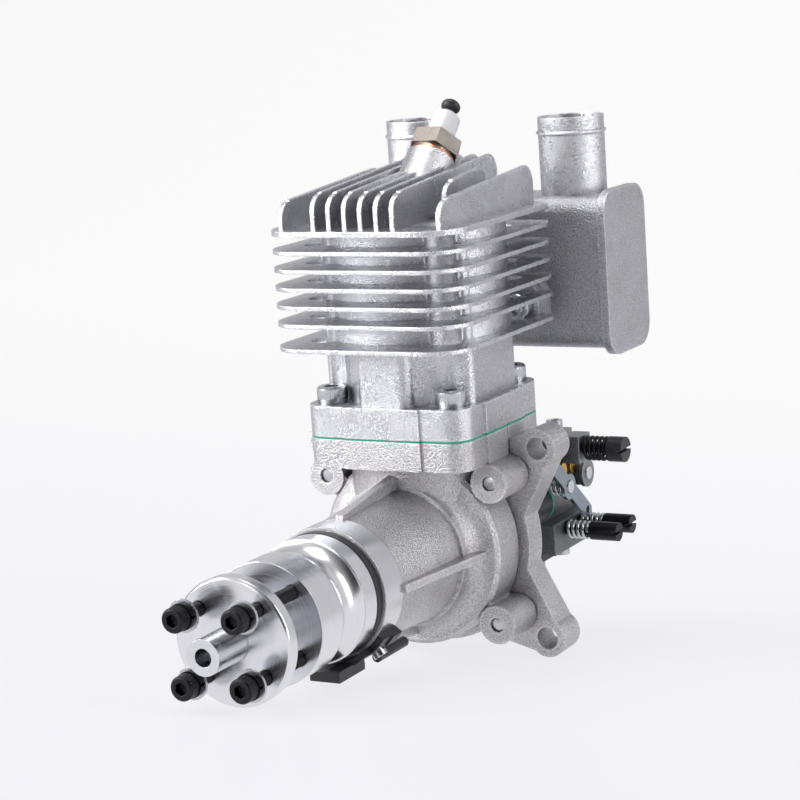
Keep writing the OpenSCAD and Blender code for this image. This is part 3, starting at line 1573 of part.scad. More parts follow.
// A screw that points along -X into its thread, with its face at the origin and a cap on a spring
module adjuster(cap_radius, spring_length, cap_length, depth) {
    slot_half = 0.5;
    slot_depth = 1.4;
    difference() {
        union() {
            rod_x(needle_shank_radius, -depth, spring_length + overrun);
            rod_x(cap_radius, spring_length, spring_length + cap_length);
        }
        translate([spring_length + cap_length - slot_depth, -cap_radius, -slot_half])
            cube([slot_depth + overrun, 2 * cap_radius, 2 * slot_half]);
    }
}

module idle_screw() {
    color([0.07, 0.07, 0.07]) translate([carb_right + idle_block_width, idle_y, idle_z])
        adjuster(idle_cap_radius, idle_spring_length, idle_cap_length, idle_block_width + overrun);
}

module low_needle() {
    color([0.07, 0.07, 0.07]) translate([carb_right, low_needle_y, needle_z])
        adjuster(needle_radius, needle_spring_length, needle_cap_length, needle_shank_depth);
}

module high_needle() {
    color([0.07, 0.07, 0.07]) translate([carb_right, high_needle_y, needle_z])
        adjuster(needle_radius, needle_spring_length, needle_cap_length, needle_shank_depth);
}

module adjuster_springs() {
    spring_side_gap = 0.1;
    color("silver") {
        translate([carb_right + idle_block_width + seat_gap, idle_y, idle_z]) rotate([0, 90, 0])
            coil(idle_cap_radius - spring_wire, spring_wire, idle_spring_length - spring_side_gap,
                 spring_turns);
        for (y = [low_needle_y, high_needle_y]) translate([carb_right + seat_gap, y, needle_z])
            rotate([0, 90, 0]) coil(needle_radius - spring_wire + seat_gap, spring_wire,
                                    needle_spring_length - spring_side_gap, spring_turns);
    }
}

crankcase_front();
crankcase_rear();
crankcase_gasket();
crankcase_bolts();
cylinder_casting();  // cylinder
base_gasket();
base_bolts();
crankshaft();
crankpin();
big_end_bearing();
connecting_rod();
small_end_bearing();
wrist_pin();
wrist_pin_clips();
piston();
piston_rings();
bearing_outer_rings();
bearing_inner_rings();
bearing_balls();
shaft_seal();
drive_hub();
hub_key();
hub_magnet();
prop_washer();
prop_bolts();
prop_lock_washers();
prop_flat_washers();
sensor_housing();
sensor_screws();
plug_shell();
plug_gasket();
plug_insulator();
plug_terminal();
exhaust_gasket();
muffler_body();
muffler_end_plates();
outlet_pipes();
muffler_bolts();
reed_plate();
reed_petals();
intake_gaskets();
insulator_block();
carb_bolts();
carb_body();
pump_cover();
metering_cover();
cover_screws();
fuel_fittings();
throttle_shaft();
throttle_disc();
throttle_lever();
throttle_spring();
choke_shaft();
choke_disc();
choke_lever();
idle_screw();
low_needle();
high_needle();
adjuster_springs();
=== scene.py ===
"""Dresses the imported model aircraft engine: materials, fine pieces, floor, lamps and camera.

Everything is in metres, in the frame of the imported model: +Y to the rear, +Z along the cylinder.
"""

import json
import math

import bpy
from mathutils import Matrix, Vector


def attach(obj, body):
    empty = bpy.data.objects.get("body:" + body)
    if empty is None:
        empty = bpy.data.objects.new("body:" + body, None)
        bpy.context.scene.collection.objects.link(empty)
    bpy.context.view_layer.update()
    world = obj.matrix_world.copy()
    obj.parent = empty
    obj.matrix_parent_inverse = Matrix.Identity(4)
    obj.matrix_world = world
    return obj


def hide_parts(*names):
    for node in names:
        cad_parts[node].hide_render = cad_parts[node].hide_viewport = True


MM = 0.001

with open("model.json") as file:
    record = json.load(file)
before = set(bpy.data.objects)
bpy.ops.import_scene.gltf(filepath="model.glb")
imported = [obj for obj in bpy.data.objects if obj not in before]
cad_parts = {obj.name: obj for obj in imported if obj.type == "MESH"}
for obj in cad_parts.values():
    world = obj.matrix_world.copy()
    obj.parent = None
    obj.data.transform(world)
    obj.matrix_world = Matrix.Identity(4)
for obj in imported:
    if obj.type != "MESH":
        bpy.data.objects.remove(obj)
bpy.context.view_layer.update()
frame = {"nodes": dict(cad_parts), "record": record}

# Materials

BEVEL_SAMPLES = 4
OCCLUSION_SAMPLES = 6

# What part of the surroundings an edge or a corner leaves open, and the colour factor it ends with: a painted
# highlight lightens open edges, painted shade darkens closed corners
EDGE_OPEN_LOW = 0.55
EDGE_OPEN_HIGH = 0.95
PAINTED_EDGE_HIGHLIGHT = 1.25
CORNER_OPEN_LOW = 0.25
CORNER_OPEN_HIGH = 0.9
PAINTED_CORNER_SHADE = 0.8
# Width of the band of painted highlight along the edges
PAINTED_HIGHLIGHT_WIDTH = 1.0 * MM

# Noise mostly stays between these values
NOISE_LOW = 0.3
NOISE_HIGH = 0.7

# Sockets of the Mix node, for numbers and for colours
MIX_NUMBER_FIRST = 2
MIX_COLOUR_FIRST = 6
MIX_COLOUR_SECOND = 7
MIX_NUMBER_RESULT = 0
MIX_COLOUR_RESULT = 2

PATCH_CELL = 9 * MM
PATCH_WEIGHT = 0.15
SPECKLE_LOW = 0.4
SPECKLE_HIGH = 0.75
SPECKLE_DARK = 0.72
SPECKLE_LIGHT = 1.25
COARSE_CELL = 3 * MM
COARSE_DEPTH = 0.12 * MM
COARSE_STRENGTH = 0.5

TURNED_BAND_CELL = 2.2 * MM
TURNED_DARK = 0.94
SMUDGE_DARK = 0.88
SMUDGE_LIGHT = 1.06
FINE_CELL = 0.15 * MM
FINE_DEPTH = 0.008 * MM
MOULD_PATCH_CELL = 5 * MM
MOULD_DARK = 0.85
MOULD_LIGHT = 1.12

NOSE_RING_FRONT_Y = -74.6 * MM
NOSE_RING_REAR_Y = -65.2 * MM
NOSE_RING_COLOUR = (0.74, 0.74, 0.77)
NOSE_RING_ROUGHNESS = 0.24


def start_material(name):
    """An empty node material with one Principled shader."""
    material = bpy.data.materials.new(name)
    material.use_nodes = True
    nodes = material.node_tree.nodes
    links = material.node_tree.links
    shader = nodes["Principled BSDF"]
    return material, nodes, links, shader


def object_place(nodes):
    """The point's place on the object, in metres."""
    return nodes.new("ShaderNodeTexCoord").outputs["Object"]


def add_noise(nodes, links, place, cell, detail=3.0, roughness=0.55):
    """Noise whose cells are about the given size in metres."""
    noise = nodes.new("ShaderNodeTexNoise")
    noise.inputs["Scale"].default_value = 1 / cell
    noise.inputs["Detail"].default_value = detail
    noise.inputs["Roughness"].default_value = roughness
    links.new(place, noise.inputs["Vector"])
    return noise.outputs["Fac"]


def remap(nodes, links, value, low, high, to_low, to_high):
    """Maps a range of values to another one."""
    node = nodes.new("ShaderNodeMapRange")
    node.inputs["From Min"].default_value = low
    node.inputs["From Max"].default_value = high
    node.inputs["To Min"].default_value = to_low
    node.inputs["To Max"].default_value = to_high
    links.new(value, node.inputs["Value"])
    return node.outputs["Result"]


def blend_colours(nodes, links, share, first, second):
    """A colour between two, by a share that varies over the surface."""
    ramp = nodes.new("ShaderNodeValToRGB")
    ramp.color_ramp.elements[0].color = (*first, 1)
    ramp.color_ramp.elements[1].color = (*second, 1)
    links.new(share, ramp.inputs["Fac"])
    return ramp.outputs["Color"]


def add_bump(nodes, links, height, depth, strength=1.0, normal=None):
    """Bumps of the given depth in metres, on top of another normal where one is given."""
    bump = nodes.new("ShaderNodeBump")
    bump.inputs["Strength"].default_value = strength
    bump.inputs["Distance"].default_value = depth
    links.new(height, bump.inputs["Height"])
    if normal is not None:
        links.new(normal, bump.inputs["Normal"])
    return bump.outputs["Normal"]


def soft_edges(nodes, radius):
    """A normal that rounds the edges by the given radius in metres."""
    bevel = nodes.new("ShaderNodeBevel")
    bevel.samples = BEVEL_SAMPLES
    bevel.inputs["Radius"].default_value = radius
    return bevel.outputs["Normal"]


def paint_edge_highlights_and_corner_shade(nodes, links, colour, edge_width, cavity_reach):
    """Paints highlights on a colour along the edges and paints shade into its corners, by how open each point
    is to its surroundings.
    """
    edges = nodes.new("ShaderNodeAmbientOcclusion")
    edges.inside = True
    edges.samples = OCCLUSION_SAMPLES
    edges.inputs["Distance"].default_value = edge_width
    cavities = nodes.new("ShaderNodeAmbientOcclusion")
    cavities.samples = OCCLUSION_SAMPLES
    cavities.inputs["Distance"].default_value = cavity_reach
    factor = nodes.new("ShaderNodeMath")
    factor.operation = "MULTIPLY"
    painted_highlight = remap(nodes, links, edges.outputs["AO"], EDGE_OPEN_LOW, EDGE_OPEN_HIGH, PAINTED_EDGE_HIGHLIGHT, 1)
    painted_shade = remap(nodes, links, cavities.outputs["AO"], CORNER_OPEN_LOW, CORNER_OPEN_HIGH, PAINTED_CORNER_SHADE, 1)
    links.new(painted_highlight, factor.inputs[0])
    links.new(painted_shade, factor.inputs[1])
    scaled = nodes.new("ShaderNodeVectorMath")
    scaled.operation = "SCALE"
    links.new(colour, scaled.inputs[0])
    links.new(factor.outputs["Value"], scaled.inputs["Scale"])
    return scaled.outputs["Vector"]


def scaled_colour(colour, factor):
    """A colour made lighter or darker."""
    return tuple(min(1.0, channel * factor) for channel in colour)


def cast_metal(name, colour, roughness, grain=0.35 * MM, depth=0.05 * MM, edge=0.5 * MM, corner=2.5 * MM):
    """Blasted casting: speckled grain, slow changes of tone, softened edges, painted highlights along the
    edges and painted shade in the corners.
    """
    material, nodes, links, shader = start_material(name)
    place = object_place(nodes)
    patches = add_noise(nodes, links, place, PATCH_CELL, detail=4)
    fine = add_noise(nodes, links, place, grain, detail=2)
    speckle = nodes.new("ShaderNodeMath")
    speckle.operation = "MULTIPLY_ADD"
    links.new(patches, speckle.inputs[0])
    speckle.inputs[1].default_value = PATCH_WEIGHT
    links.new(fine, speckle.inputs[2])
    tone = remap(nodes, links, speckle.outputs["Value"], SPECKLE_LOW, SPECKLE_HIGH, 0, 1)
    dark = scaled_colour(colour, SPECKLE_DARK)
    light = scaled_colour(colour, SPECKLE_LIGHT)
    speckled = blend_colours(nodes, links, tone, dark, light)
    # Painted highlights along the edges and painted shade in the corners go on top of the speckled colour
    links.new(paint_edge_highlights_and_corner_shade(nodes, links, speckled, PAINTED_HIGHLIGHT_WIDTH, corner), shader.inputs["Base Color"])
    links.new(remap(nodes, links, patches, NOISE_LOW, NOISE_HIGH, roughness - 0.05, roughness + 0.06),
              shader.inputs["Roughness"])
    coarse = add_noise(nodes, links, place, COARSE_CELL, detail=2)
    rounded = add_bump(nodes, links, coarse, COARSE_DEPTH, COARSE_STRENGTH, soft_edges(nodes, edge))
    links.new(add_bump(nodes, links, fine, depth, 1.0, rounded), shader.inputs["Normal"])
    shader.inputs["Metallic"].default_value = 1
    return material


def show_turned_band(material, colour, roughness, low, high):
    """Makes a band of a casting, between two places along Y, bright and turned."""
    nodes = material.node_tree.nodes
    links = material.node_tree.links
    shader = nodes["Principled BSDF"]
    split = nodes.new("ShaderNodeSeparateXYZ")
    links.new(object_place(nodes), split.inputs["Vector"])
    middle = nodes.new("ShaderNodeMath")
    middle.operation = "COMPARE"
    middle.inputs[1].default_value = (low + high) / 2
    middle.inputs[2].default_value = (high - low) / 2
    links.new(split.outputs["Y"], middle.inputs[0])
    for name, turned in (("Base Color", (*colour, 1)), ("Roughness", roughness)):
        cast = shader.inputs[name].links[0].from_socket
        mix = nodes.new("ShaderNodeMix")
        coloured = name == "Base Color"
        mix.data_type = "RGBA" if coloured else "FLOAT"
        first = MIX_COLOUR_FIRST if coloured else MIX_NUMBER_FIRST
        result = MIX_COLOUR_RESULT if coloured else MIX_NUMBER_RESULT
        links.new(middle.outputs["Value"], mix.inputs[0])
        links.new(cast, mix.inputs[first])
        mix.inputs[first + 1].default_value = turned
        links.new(mix.outputs[result], shader.inputs[name])
    for bump in [node for node in nodes if node.bl_idname == "ShaderNodeBump"]:
        flat = nodes.new("ShaderNodeMath")
        flat.operation = "SUBTRACT"
        flat.inputs[0].default_value = 1
        links.new(middle.outputs["Value"], flat.inputs[1])
        links.new(flat.outputs["Value"], bump.inputs["Strength"])


def turned_metal(name, colour, roughness, ring=0.09 * MM, depth=0.004 * MM, edge=0.35 * MM):
    """Metal turned on a lathe about the crank axis: fine rings on faces and bands alike."""
    material, nodes, links, shader = start_material(name)
    place = object_place(nodes)
    split = nodes.new("ShaderNodeSeparateXYZ")
    links.new(place, split.inputs["Vector"])
    across = nodes.new("ShaderNodeCombineXYZ")
    links.new(split.outputs["X"], across.inputs["X"])
    links.new(split.outputs["Z"], across.inputs["Z"])
    reach = nodes.new("ShaderNodeVectorMath")
    reach.operation = "LENGTH"
    links.new(across.outputs["Vector"], reach.inputs[0])
    rings = nodes.new("ShaderNodeCombineXYZ")
    links.new(reach.outputs["Value"], rings.inputs["X"])
    links.new(split.outputs["Y"], rings.inputs["Y"])
    cuts = add_noise(nodes, links, rings.outputs["Vector"], ring, detail=3)
    bands = add_noise(nodes, links, rings.outputs["Vector"], TURNED_BAND_CELL, detail=2)
    links.new(blend_colours(nodes, links, bands, scaled_colour(colour, TURNED_DARK), colour),
              shader.inputs["Base Color"])
    links.new(remap(nodes, links, cuts, NOISE_LOW, NOISE_HIGH, roughness - 0.05, roughness + 0.09),
              shader.inputs["Roughness"])
    links.new(add_bump(nodes, links, cuts, depth, 1.0, soft_edges(nodes, edge)), shader.inputs["Normal"])
    shader.inputs["Metallic"].default_value = 1
    return material


def plain_metal(name, colour, roughness, smudge=4 * MM, edge=0.2 * MM):
    """Drawn or plated metal with faint smudges."""
    material, nodes, links, shader = start_material(name)
    place = object_place(nodes)
    smudges = add_noise(nodes, links, place, smudge, detail=5)
    dark = scaled_colour(colour, SMUDGE_DARK)
    light = scaled_colour(colour, SMUDGE_LIGHT)
    links.new(blend_colours(nodes, links, smudges, dark, light), shader.inputs["Base Color"])
    links.new(remap(nodes, links, smudges, NOISE_LOW, NOISE_HIGH, roughness - 0.04, roughness + 0.08),
              shader.inputs["Roughness"])
    fine = add_noise(nodes, links, place, FINE_CELL, detail=2)
    links.new(add_bump(nodes, links, fine, FINE_DEPTH, 1.0, soft_edges(nodes, edge)), shader.inputs["Normal"])
    shader.inputs["Metallic"].default_value = 1
    return material


def moulded(name, colour, roughness, grain=0.3 * MM, depth=0.02 * MM, edge=0.3 * MM, coat=0.0):
    """Plastic, rubber, paper gasket or ceramic, by its colour, gloss and grain."""
    material, nodes, links, shader = start_material(name)
    place = object_place(nodes)
    patches = add_noise(nodes, links, place, MOULD_PATCH_CELL, detail=4)
    dark = scaled_colour(colour, MOULD_DARK)
    light = scaled_colour(colour, MOULD_LIGHT)
    links.new(blend_colours(nodes, links, patches, dark, light), shader.inputs["Base Color"])
    links.new(remap(nodes, links, patches, NOISE_LOW, NOISE_HIGH, roughness - 0.05, roughness + 0.07),
              shader.inputs["Roughness"])
    fine = add_noise(nodes, links, place, grain, detail=2)
    links.new(add_bump(nodes, links, fine, depth, 1.0, soft_edges(nodes, edge)), shader.inputs["Normal"])
    shader.inputs["Coat Weight"].default_value = coat
    return material


def make_materials():
    """One material for each slot of the record."""
    made = {
        # The case's painted corner shade reaches 7 mm into its hollows
        "cast_case": cast_metal("cast_case", (0.57, 0.56, 0.575), 0.33, grain=0.5 * MM, depth=0.4 * MM,
                                corner=7 * MM),
        "cast_cylinder": cast_metal("cast_cylinder", (0.62, 0.62, 0.65), 0.27, depth=0.18 * MM),
        "machined": turned_metal("machined", (0.84, 0.84, 0.87), 0.2),
        "steel": plain_metal("steel", (0.78, 0.79, 0.82), 0.24),
        "bright_zinc": plain_metal("bright_zinc", (0.60, 0.61, 0.64), 0.25),
        "black_oxide": plain_metal("black_oxide", (0.035, 0.034, 0.037), 0.36),
        "gasket_green": moulded("gasket_green", (0.01, 0.33, 0.20), 0.5),
        "gasket_grey": moulded("gasket_grey", (0.2, 0.2, 0.21), 0.7),
        "black_rubber": moulded("black_rubber", (0.02, 0.02, 0.02), 0.55),
        "black_plastic": moulded("black_plastic", (0.018, 0.018, 0.02), 0.4),
        "ceramic": moulded("ceramic", (0.68, 0.68, 0.70), 0.12, depth=0.004 * MM, coat=0.5),
        "copper": plain_metal("copper", (0.60, 0.27, 0.17), 0.3),
        "plug_steel": plain_metal("plug_steel", (0.36, 0.32, 0.29), 0.28),
        "muffler": cast_metal("muffler", (0.52, 0.52, 0.55), 0.36, grain=0.5 * MM, depth=0.35 * MM),
        "pipe": cast_metal("pipe", (0.62, 0.62, 0.65), 0.27, depth=0.2 * MM),
        "carb_zinc": cast_metal("carb_zinc", (0.20, 0.205, 0.215), 0.42, depth=0.12 * MM),
        "cover_zinc": cast_metal("cover_zinc", (0.30, 0.31, 0.33), 0.38, depth=0.12 * MM),
        "brass": plain_metal("brass", (0.72, 0.45, 0.12), 0.25),
        "lever_zinc": plain_metal("lever_zinc", (0.34, 0.38, 0.43), 0.22),
    }
    show_turned_band(made["cast_case"], NOSE_RING_COLOUR, NOSE_RING_ROUGHNESS,
                     NOSE_RING_FRONT_Y, NOSE_RING_REAR_Y)
    return made


def dress_nodes(materials):
    """Gives every CAD node the material of its slot in the record."""
    for part in frame["record"]["subparts"]:
        for slot in frame["nodes"][part["node"]].material_slots:
            slot.material = materials[part["material_slot"]]


# Fine pieces in place of plain solids

FLUTES = 36
SEGMENTS = 2 * FLUTES
FLUTE_DEPTH = 0.11 * MM
THREAD_DEPTH_SHARE = 0.13
BOLT_TIP_SHARE = 0.7
BOLT_HEAD_SHARE = 1.72
BOLT_HEAD_HEIGHT_SHARE = 2
CHAMFER_SHARE = 0.12
SOCKET_SHARE = 0.82
SOCKET_MOUTH_SHARE = 1.25
SOCKET_POINT_SHARE = 0.4
SOCKET_FLOOR_SHARE = 0.45
SOCKET_POINT_HEIGHT_SHARE = 0.40


def hexagon_reach(turn, across_half):
    """Distance from the centre to the side of a hexagon, in one direction."""
    within = (turn + math.pi / 6) % (math.pi / 3) - math.pi / 6
    return across_half / math.cos(within)


def socket_bolt_rings(radius, length, head_radius, head_height, pitch):
    """Rings of a knurled socket bolt along Z, from the tip to the floor of the socket.

    Each ring is a height and a function that gives the reach by turn and by step.
    """
    chamfer = CHAMFER_SHARE * head_height
    socket = SOCKET_SHARE * radius
    rings = [(-length, lambda turn, k: BOLT_TIP_SHARE * radius)]
    steps = int(length / pitch)
    for step in range(steps):
        height = -length + pitch * (step + 0.5)
        rings.append((height - pitch / 4, lambda turn, k: radius))
        rings.append((height + pitch / 4, lambda turn, k: radius * (1 - THREAD_DEPTH_SHARE)))
    rings.append((0, lambda turn, k: radius))
    rings.append((0, lambda turn, k: head_radius - 2 * FLUTE_DEPTH))
    knurl = lambda turn, k: head_radius - FLUTE_DEPTH * (1 if k % 2 else 0)
    rings.append((0.5 * chamfer, knurl))
    rings.append((head_height - chamfer, knurl))
    rings.append((head_height - 0.9 * chamfer, lambda turn, k: head_radius - FLUTE_DEPTH))
    rings.append((head_height - 0.25 * chamfer, lambda turn, k: head_radius - 0.6 * chamfer))
    rings.append((head_height, lambda turn, k: head_radius - chamfer))
    rings.append((head_height, lambda turn, k: SOCKET_MOUTH_SHARE * socket))
    rings.append((head_height - 0.25 * chamfer, lambda turn, k: hexagon_reach(turn, socket)))
    rings.append((SOCKET_FLOOR_SHARE * head_height, lambda turn, k: hexagon_reach(turn, socket)))
    rings.append((SOCKET_POINT_HEIGHT_SHARE * head_height, lambda turn, k: SOCKET_POINT_SHARE * socket))
    return rings


def add_rings(vertices, faces, rings, matrix):
    """Adds one closed turned form, ring by ring, to a list of vertices and faces."""
    first = len(vertices)
    for height, reach in rings:
        for k in range(SEGMENTS):
            turn = 2 * math.pi * k / SEGMENTS
            out = reach(turn, k)
            vertices.append(matrix @ Vector((out * math.cos(turn), out * math.sin(turn), height)))
    for row in range(len(rings) - 1):
        for k in range(SEGMENTS):
            a = first + row * SEGMENTS + k
            b = first + row * SEGMENTS + (k + 1) % SEGMENTS
            faces.append((a, b, b + SEGMENTS, a + SEGMENTS))
    faces.append(tuple(first + k for k in reversed(range(SEGMENTS))))
    last = first + (len(rings) - 1) * SEGMENTS
    faces.append(tuple(last + k for k in range(SEGMENTS)))


def add_piece(name, vertices, faces, material, body, smooth_angle=35):
    """A mesh object that rides on a body."""
    mesh = bpy.data.meshes.new(name)
    mesh.from_pydata(vertices, [], faces)
    mesh.validate()
    mesh.materials.append(material)
    piece = bpy.data.objects.new(name, mesh)
    bpy.context.scene.collection.objects.link(piece)
    mesh.shade_smooth()
    mesh.set_sharp_from_angle(angle=math.radians(smooth_angle))
    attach(piece, body)
    return piece


def turned_to(direction):
    """A rotation that takes +Z to a direction."""
    return Vector((0, 0, 1)).rotation_difference(Vector(direction)).to_matrix().to_4x4()


def add_bolts(node, body, slot, places, direction, radius, length, pitch):
    """Knurled socket bolts in place of a CAD node, with their heads' undersides at the places."""
    head_radius = BOLT_HEAD_SHARE * radius
    head_height = BOLT_HEAD_HEIGHT_SHARE * radius
    rings = socket_bolt_rings(radius, length, head_radius, head_height, pitch)
    vertices, faces = [], []
    for place in places:
        add_rings(vertices, faces, rings, Matrix.Translation(place) @ turned_to(direction))
    piece = add_piece(f"{node}_detailed", vertices, faces, materials[slot], body)
    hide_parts(node)
    return piece


def corners(half_x, half_z):
    """The four corners of a rectangle."""
    return [(sx * half_x, sz * half_z) for sx in (-1, 1) for sz in (-1, 1)]


HUB_TURN = math.radians(-3)
PROP_BOLT_OFFSET = 9.1 * MM
PROP_HEAD_Y = -132.5 * MM
CASE_BOLT_X = 27.1 * MM
CASE_BOLT_Z = 21.1 * MM
CYLINDER_Y = -11.4 * MM
BASE_BOLT_OFFSET = 19.8 * MM
FLANGE_TOP = 45.0 * MM
CARB_BOLT_X = 12.5 * MM
CARB_BOLT_Z = 3.5 * MM
CARB_REAR_Y = 45.6 * MM
MUFFLER_BOLT_X = 20.5 * MM
MUFFLER_BOLT_Z = 66.6 * MM
MUFFLER_BOLT_Y = 16.5 * MM
M4_RADIUS = 2 * MM
M4_PITCH = 0.7 * MM
M5_RADIUS = 2.5 * MM
M5_PITCH = 0.8 * MM
PROP_BOLT_LENGTH = 35 * MM
CASE_BOLT_LENGTH = 24.9 * MM
BASE_BOLT_LENGTH = 16.7 * MM
CARB_BOLT_LENGTH = 45.6 * MM
MUFFLER_BOLT_LENGTH = 9.6 * MM


def add_all_bolts():
    """Every visible socket bolt."""
    turned = Matrix.Rotation(HUB_TURN, 3, "Y")
    prop_corners = corners(PROP_BOLT_OFFSET, PROP_BOLT_OFFSET)
    prop_places = [turned @ Vector((x, PROP_HEAD_Y, z)) for x, z in prop_corners]
    add_bolts("prop_bolts", "crank", "black_oxide", prop_places, (0, -1, 0),
              M4_RADIUS, PROP_BOLT_LENGTH, M4_PITCH)
    case_places = [Vector((x, 0, z)) for x, z in corners(CASE_BOLT_X, CASE_BOLT_Z)]
    add_bolts("crankcase_bolts", "engine", "bright_zinc", case_places, (0, 1, 0),
              M4_RADIUS, CASE_BOLT_LENGTH, M4_PITCH)
    base_corners = corners(BASE_BOLT_OFFSET, BASE_BOLT_OFFSET)
    base_places = [Vector((x, CYLINDER_Y + y, FLANGE_TOP)) for x, y in base_corners]
    add_bolts("base_bolts", "engine", "bright_zinc", base_places, (0, 0, 1),
              M5_RADIUS, BASE_BOLT_LENGTH, M5_PITCH)
    carb_places = [Vector((side * CARB_BOLT_X, CARB_REAR_Y, CARB_BOLT_Z)) for side in (-1, 1)]
    add_bolts("carb_bolts", "engine", "bright_zinc", carb_places, (0, 1, 0),
              M5_RADIUS, CARB_BOLT_LENGTH, M5_PITCH)
    muffler_places = [Vector((side * MUFFLER_BOLT_X, MUFFLER_BOLT_Y, MUFFLER_BOLT_Z)) for side in (-1, 1)]
    add_bolts("muffler_bolts", "engine", "bright_zinc", muffler_places, (0, -1, 0),
              M5_RADIUS, MUFFLER_BOLT_LENGTH, M5_PITCH)


COIL_SIDES = 10
COIL_RINGS_PER_TURN = 28
SPRING_WIRE = 0.6 * MM
SPRING_LENGTH = 8.4 * MM
SPRING_TURNS = 4.5
SPRING_SMOOTH_ANGLE = 60
LOW_AND_HIGH_X = 27 * MM
LOW_AND_HIGH_Z = -4.8 * MM

# Each adjuster's name, where its spring starts, its cap's radius and its spring's slot
ADJUSTERS = [
    ("idle", (32.5 * MM, 30 * MM, 20.2 * MM), 3.9 * MM, "black_oxide"),
    ("low", (LOW_AND_HIGH_X, 26 * MM, LOW_AND_HIGH_Z), 2.9 * MM, "bright_zinc"),
    ("high", (LOW_AND_HIGH_X, 36.5 * MM, LOW_AND_HIGH_Z), 2.9 * MM, "bright_zinc"),
]


def coil_mesh(radius, wire, start, length, turns):
    """Vertices and faces of a closed spring wire along X, flat at both ends."""
    vertices, faces = [], []
    rings = int(turns * COIL_RINGS_PER_TURN)
    for ring in range(rings + 1):
        turn = 2 * math.pi * ring / COIL_RINGS_PER_TURN
        along = start + wire + (length - 2 * wire) * ring / rings
        for k in range(COIL_SIDES):
            around = 2 * math.pi * k / COIL_SIDES
            reach = radius + wire * math.cos(around)
            vertices.append((along + wire * math.sin(around), reach * math.cos(turn), reach * math.sin(turn)))
    for ring in range(rings):
        for k in range(COIL_SIDES):
            a = ring * COIL_SIDES + k
            b = ring * COIL_SIDES + (k + 1) % COIL_SIDES
            faces.append((a, b, b + COIL_SIDES, a + COIL_SIDES))
    faces.append(tuple(reversed(range(COIL_SIDES))))
    last = rings * COIL_SIDES
    faces.append(tuple(last + k for k in range(COIL_SIDES)))
    return vertices, faces


def add_adjuster_springs():
    """The three springs under the adjusters' caps: the idle spring is black, the others bright."""
    for name, place, cap_radius, slot in ADJUSTERS:
        coil_radius = cap_radius - SPRING_WIRE
        vertices, faces = coil_mesh(coil_radius, SPRING_WIRE, place[0], SPRING_LENGTH, SPRING_TURNS)
        moved = [(x, y + place[1], z + place[2]) for x, y, z in vertices]
        spring = add_piece(f"{name}_spring", moved, faces, materials[slot], "engine",
                           SPRING_SMOOTH_ANGLE)
        if name == "idle":
            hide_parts("adjuster_springs")


GAP_RING_INNER = 13.5 * MM
GAP_RING_OUTER = 18.0 * MM
GAP_RING_EDGE = 0.3 * MM
GAP_RING_FRONT_Y = -77.8 * MM
GAP_RING_REAR_Y = -75.05 * MM
GAP_RING_STEPS = 96


def add_gap_ring():
    """A dark ring in the gap between the hub and the machined ring of the crankcase."""
    vertices, faces = [], []
    profile = [(GAP_RING_INNER, GAP_RING_FRONT_Y), (GAP_RING_OUTER - GAP_RING_EDGE, GAP_RING_FRONT_Y),
               (GAP_RING_OUTER, GAP_RING_FRONT_Y + GAP_RING_EDGE), (GAP_RING_OUTER, GAP_RING_REAR_Y),
               (GAP_RING_INNER, GAP_RING_REAR_Y)]
    steps = GAP_RING_STEPS
    for k in range(steps):
        turn = 2 * math.pi * k / steps
        vertices += [(reach * math.cos(turn), y, reach * math.sin(turn)) for reach, y in profile]
    count = len(profile)
    for k in range(steps):
        for row in range(count):
            a = k * count + row
            b = k * count + (row + 1) % count
            c = ((k + 1) % steps) * count + (row + 1) % count
            d = ((k + 1) % steps) * count + row
            faces.append((a, b, c, d))
    add_piece("gap_ring", vertices, faces, materials["black_plastic"], "engine")


# Floor and backdrop

WASHER_FRONT_Y = -124 * MM
WASHER_BOTTOM_Z = -17.8 * MM
FLOOR_RISE = -0.149
SWEEP_START = 0.5
SWEEP_RADIUS = 0.9
SWEEP_STEPS = 24
FLOOR_FRONT = -1.6
FLOOR_HALF_WIDTH = 3.0
WALL_HEIGHT = 2.5
FLOOR_FRONT_Y = -0.05
FLOOR_BACK_Y = 0.9
FLOOR_FRONT_SEEN = (0.87, 0.86, 0.91)
FLOOR_BACK_SEEN = (1, 1, 1)
FLOOR_FRONT_MIRRORED = (0.86, 0.86, 0.88)
FLOOR_BACK_MIRRORED = (0.62, 0.62, 0.64)
FLOOR_COLOUR = (0.88, 0.88, 0.90, 1)
FLOOR_ROUGHNESS = 0.32
FLOOR_SEEN_SHARE = 0.85


